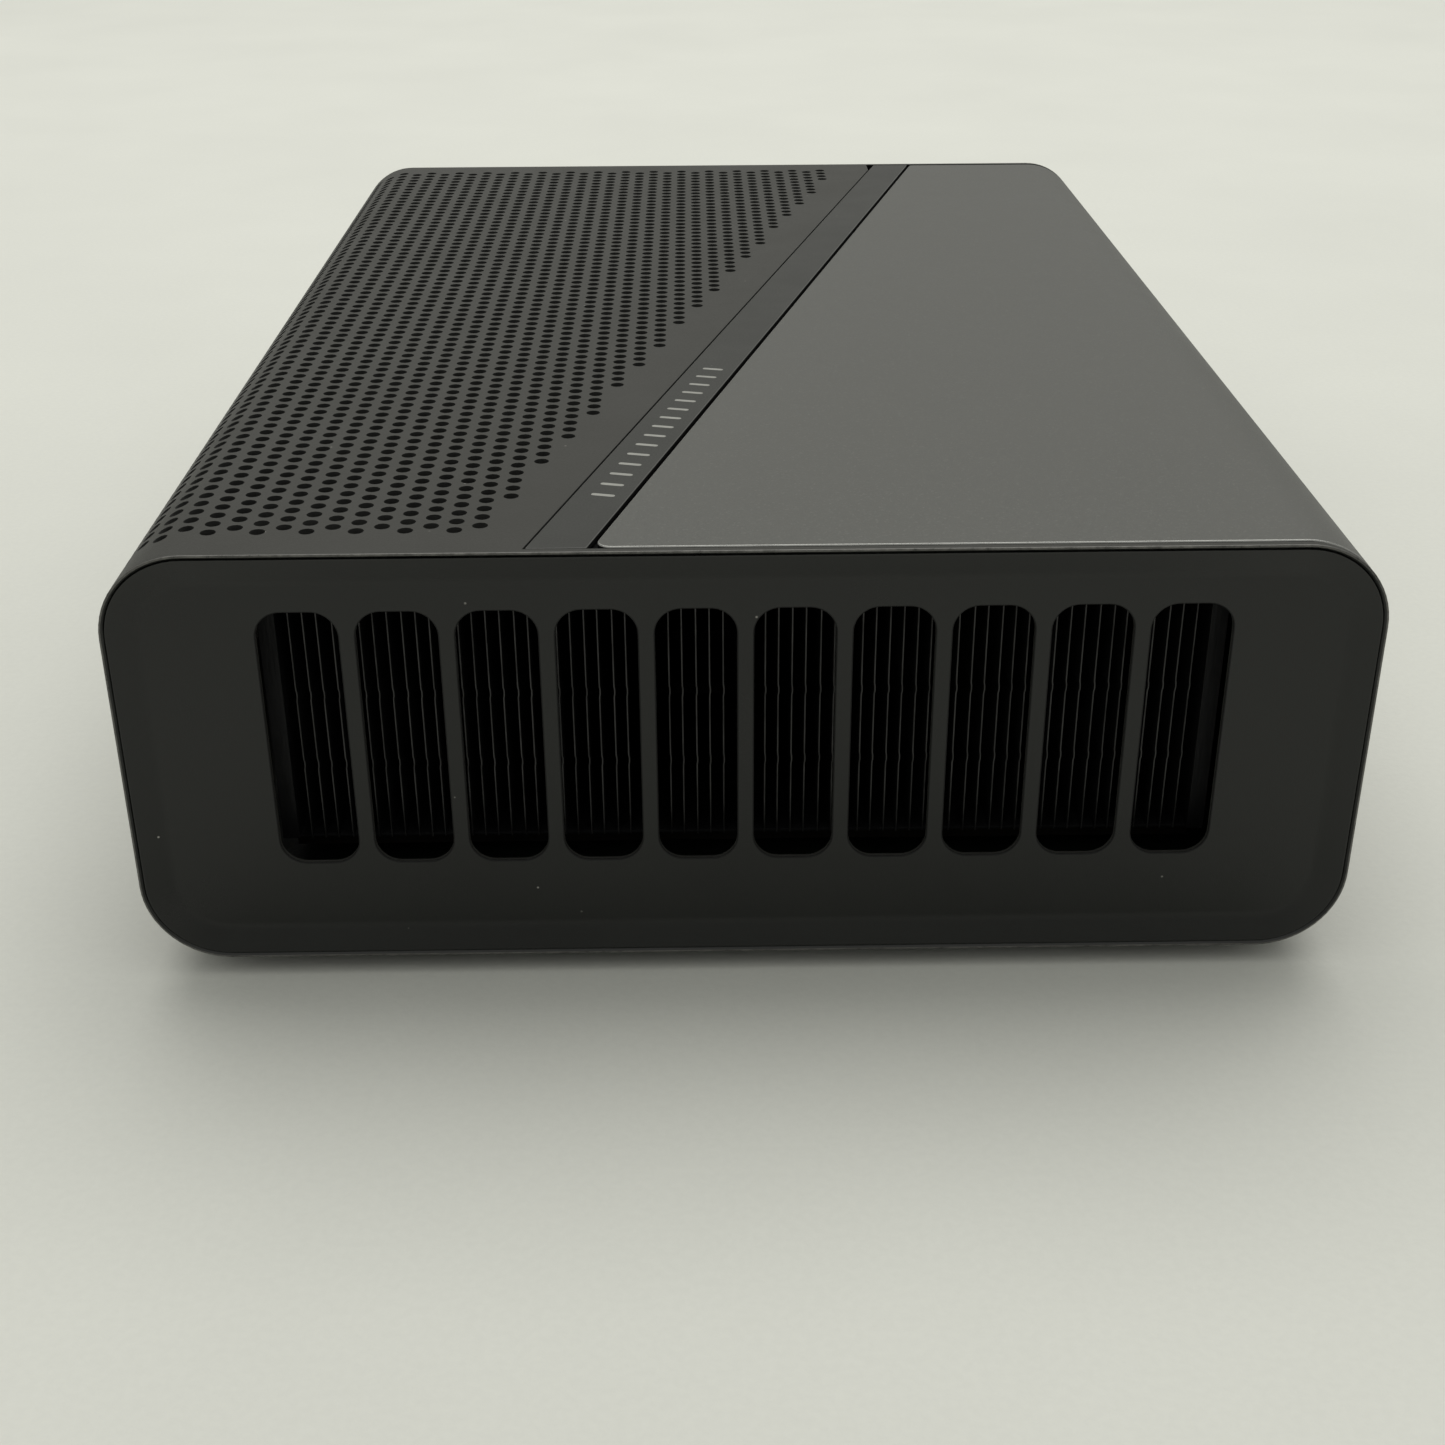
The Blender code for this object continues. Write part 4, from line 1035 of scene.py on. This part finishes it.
def make_screw(name, head_face, direction, axis, shank, node):
    """Pan-head screw with a cross recess. head_face is the middle of the head's flat top."""
    bm = bmesh.new()
    r, h = 2.0 * MM, 1.0 * MM
    profile = in_mm((0, 0), (1.3, -0.02), (1.7, -0.12), (1.92, -0.34), (2.0, -0.62))
    profile += [(r, -h), (1.0 * MM, -h)]
    turns = int(shank / (0.4 * MM))
    for k in range(turns):
        z = -h - 0.4 * MM * (k + 1)
        profile += [(0.98 * MM, z + 0.2 * MM), (0.84 * MM, z + 0.1 * MM), (0.98 * MM, z)]
    profile += [(0, -h - shank)]
    place = [(u, direction * v) for u, v in profile]
    revolve(bm, place, head_face, axis, 32)
    screw = from_bmesh(name, bm, ["screw"])
    tools = []
    for turn in (0, 1):
        arms = bmesh.new()
        size = (1.25 * MM, 0.26 * MM) if turn else (0.26 * MM, 1.25 * MM)
        deep = 0.75 * MM
        if axis == "Z":
            box(arms, (head_face[0] - size[0], head_face[1] - size[1], head_face[2] - deep),
                (head_face[0] + size[0], head_face[1] + size[1], head_face[2] + deep))
        else:
            box(arms, (head_face[0] - size[0], head_face[1] - deep, head_face[2] - size[1]),
                (head_face[0] + size[0], head_face[1] + deep, head_face[2] + size[1]))
        tools.append(from_bmesh(f"{name}_arm_{turn}", arms, []))
    cut(screw, tools)
    declare(screw, "black_steel", node)


def make_screws():
    for index in range(1, 5):
        low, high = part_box(f"rear_screw_{index}")
        head = ((low.x + high.x) / 2, high.y, (low.z + high.z) / 2)
        make_screw(f"rear_cross_screw_{index}", head, 1, "Y", 7.6 * MM, f"rear_screw_{index}")
        low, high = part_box(f"base_screw_{index}")
        head = ((low.x + high.x) / 2, (low.y + high.y) / 2, low.z)
        make_screw(f"base_cross_screw_{index}", head, -1, "Z", 5.2 * MM, f"base_screw_{index}")


def make_feet():
    for name, centre in foot_centres():
        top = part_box(name)[1].z
        bm = bmesh.new()
        profile = [(0, top), (4.7 * MM, top), (5.0 * MM, top - 0.3 * MM), (5.0 * MM, 0.7 * MM),
                   (4.9 * MM, 0.4 * MM), (4.7 * MM, 0.15 * MM), (4.35 * MM, 0.02 * MM),
                   (4.0 * MM, 0.0), (3.8 * MM, 0.12 * MM), (3.6 * MM, 0.16 * MM), (0, 0.16 * MM)]
        revolve(bm, profile, (centre.x, centre.y, 0), "Z", 48)
        declare(from_bmesh(f"rubber_{name}", bm, ["rubber"]), "foot_rubber", name)


def make_sockets():
    for name, (width, height, radius, count, pins) in SOCKETS.items():
        low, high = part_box(name)
        front, back = high.y, low.y
        width, height, radius = width * MM, height * MM, radius * MM
        wall, deep = 0.4 * MM, 8 * MM
        bm = bmesh.new()
        for x, z in mouths(name):
            levels = [(back, 0.0), (front - 0.12 * MM, 0.0), (front - 0.03 * MM, -0.04 * MM),
                      (front, -0.13 * MM), (front, -0.28 * MM), (front - 0.12 * MM, -wall),
                      (front - deep, -wall)]
            rings = []
            for y, grow in levels:
                outline = rounded(width + 2 * grow, height + 2 * grow,
                                  max(0.1 * MM, radius + grow), x, z, 5)
                rings.append(ring(bm, outline, y))
            for a, b in zip(rings, rings[1:]):
                bridge(bm, a, b)
            fill(bm, [rings[0]])
            fill(bm, [rings[-1]], 1)
            thin = height / 8
            box(bm, (x - width / 3, front - deep - 0.2 * MM, z - thin),
                (x + width / 3, front - 1.2 * MM, z + thin), 1)
            row = width / 3 - 0.6 * MM
            for pin in range(pins // 2):
                px = x - row + 2 * row * pin / (pins // 2 - 1)
                for side in (-1, 1):
                    edge_z = z + side * thin
                    box(bm, (px - 0.12 * MM, front - deep + 0.6 * MM, edge_z - 0.03 * MM),
                        (px + 0.12 * MM, front - 1.6 * MM, edge_z + 0.03 * MM), 2)
        centres = list(mouths(name))
        x, z = centres[-1]
        half = width / 2
        box(bm, (x - half + 1 * MM, back, low.z), (x + half - 1 * MM, back + 9 * MM, z), 1)
        if count > 1:
            box(bm, (x - half + radius, back, z),
                (x + half - radius, back + 5 * MM, centres[0][1]), 1)
        socket = from_bmesh(f"{name}_detailed", bm, ["socket", "insert", "gold"])
        declare(socket, "socket_steel", name)


def make_inlet():
    low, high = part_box("dc_inlet")
    x, z, radius = round_centre("dc_inlet")
    bm = bmesh.new()
    front, back = high.y, low.y
    profile = [(0, back), (radius, back), (radius, front - 0.3 * MM),
               (radius - 0.1 * MM, front - 0.1 * MM), (radius - 0.3 * MM, front)]
    profile += behind(front, (3.7, 0), (3.45, 0.1), (3.3, 0.35), (3.3, 10), (0, 10))
    revolve(bm, profile, (x, 0, z), "Y", 48)
    pin = behind(front, (0, 10.2), (1.0, 10.2), (1.0, 1.9), (0.85, 1.65), (0.5, 1.55), (0, 1.5))
    revolve(bm, pin, (x, 0, z), "Y", 24, slots=[1] * 5)
    liner = behind(front, (3.28, 9.9), (3.28, 1.0), (3.05, 1.0), (3.05, 9.9), (3.28, 9.9))
    revolve(bm, liner, (x, 0, z), "Y", 48, slots=[1] * 4)
    box(bm, (x - radius, back, low.z), (x + radius, back + 11 * MM, z))
    bmesh.ops.remove_doubles(bm, verts=bm.verts, dist=1e-8)
    inlet = from_bmesh("power_inlet", bm, ["insert", "socket"])
    declare(inlet, "socket_plastic", "dc_inlet")


def make_button():
    low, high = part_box("power_button")
    x, z = (low.x + high.x) / 2, (low.z + high.z) / 2
    bm = bmesh.new()
    r = 3.2 * MM
    face, back = high.y, low.y
    flange = back + 1.0 * MM
    profile = behind(face, (0, 0.14), (1.2, 0.12), (2.2, 0.06), (2.7, 0), (2.9, 0.02),
                     (3.08, 0.12), (3.2, 0.32))
    profile += [(r, flange), (3.7 * MM, flange), (3.7 * MM, back), (0, back)]
    revolve(bm, profile, (x, 0, z), "Y", 56)
    button = from_bmesh("dished_button", bm, ["panel"])
    declare(button, "panel_plastic", "power_button", body="power_button")


def make_light_pipe():
    low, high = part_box("status_light_pipe")
    x, z, radius = round_centre("status_light_pipe")
    bm = bmesh.new()
    tip = high.y
    profile = [(0, low.y), (radius, low.y), (radius, tip - 0.3 * MM)]
    profile += behind(tip, (0.95, 0.12), (0.6, 0.03), (0, 0))
    revolve(bm, profile, (x, 0, z), "Y", 28)
    box(bm, (x - 0.7 * MM, low.y + 0.4 * MM, low.z), (x + 0.7 * MM, low.y + 2.6 * MM, z))
    pipe = from_bmesh("light_pipe", bm, ["light"])
    declare(pipe, "light_resin", "status_light_pipe")


# ---------------------------------------------------------------- assembly

CAD_LOOKS = {
    "cooler_screw": "screw", "board_spacer": "brass", "main_board": "board",
    "gpu_package": "chip", "memory_chip": "chip", "link_controller": "chip",
    "thermal_pad": "pad", "power_choke": "ferrite", "bulk_capacitor": "can",
    "tact_switch": "insert", "spring_backplate": "steel", "fan_cover": "steel",
    "vapor_chamber": "chamber", "motor_stator": "copper", "fan_case": "fan",
    "fan_rotor": "fan",
}


def dress_cad_nodes():
    """Better materials on the CAD nodes that stay."""
    for name, obj in frame["nodes"].items():
        for start, look in CAD_LOOKS.items():
            if name.startswith(start):
                obj.data.materials.clear()
                obj.data.materials.append(LOOKS[look])


def make_stage():
    bm = bmesh.new()
    bmesh.ops.create_grid(bm, x_segments=8, y_segments=8, size=12.0)
    LOOKS["floor"] = finish("pale_floor", (0.66, 0.665, 0.625), 0.75, grain=0.8, depth=0.12,
                            mottle=60, swing=0.02, specular=0.25, fine=0.015)
    floor = from_bmesh("floor", bm, ["floor"])
    world = bpy.data.worlds.new("studio")
    world.use_nodes = True
    background = world.node_tree.nodes["Background"]
    tree = world.node_tree
    direction = add(tree, "ShaderNodeTexCoord").outputs["Generated"]
    axes = add(tree, "ShaderNodeSeparateXYZ", None, {"Vector": direction}).outputs
    rise = remap(tree, axes["Z"], 0.0, 0.75, 0.0, 1.0)
    behind = remap(tree, axes["Y"], -0.7, 0.5, 0.0, 1.0)
    horizon = blend_colours(tree, behind, (0.19, 0.195, 0.185), (0.62, 0.62, 0.57))
    sky = blend_colours(tree, rise, horizon, (0.90, 0.91, 0.86))
    tree.links.new(sky, background.inputs["Color"])
    background.inputs["Strength"].default_value = 0.74
    bpy.context.scene.world = world
    bpy.context.scene.view_settings.view_transform = "Standard"
    make_light("overhead", (0.05, 0.50, 1.2), (0, 0, 0), 1.5, 1.0, 10.5, (1.0, 0.99, 0.95))


make_camera()
make_stage()
make_perforated_skin()
make_mouth("front_mouth", -1)
make_mouth("rear_mouth", 1)
make_lower_sleeve()
make_pocket()
make_bosses()
make_bezel()
make_rear_panel()
make_trim()
make_print()
make_fins()
make_screws()
make_feet()
make_sockets()
make_inlet()
make_button()
make_light_pipe()
dress_cad_nodes()
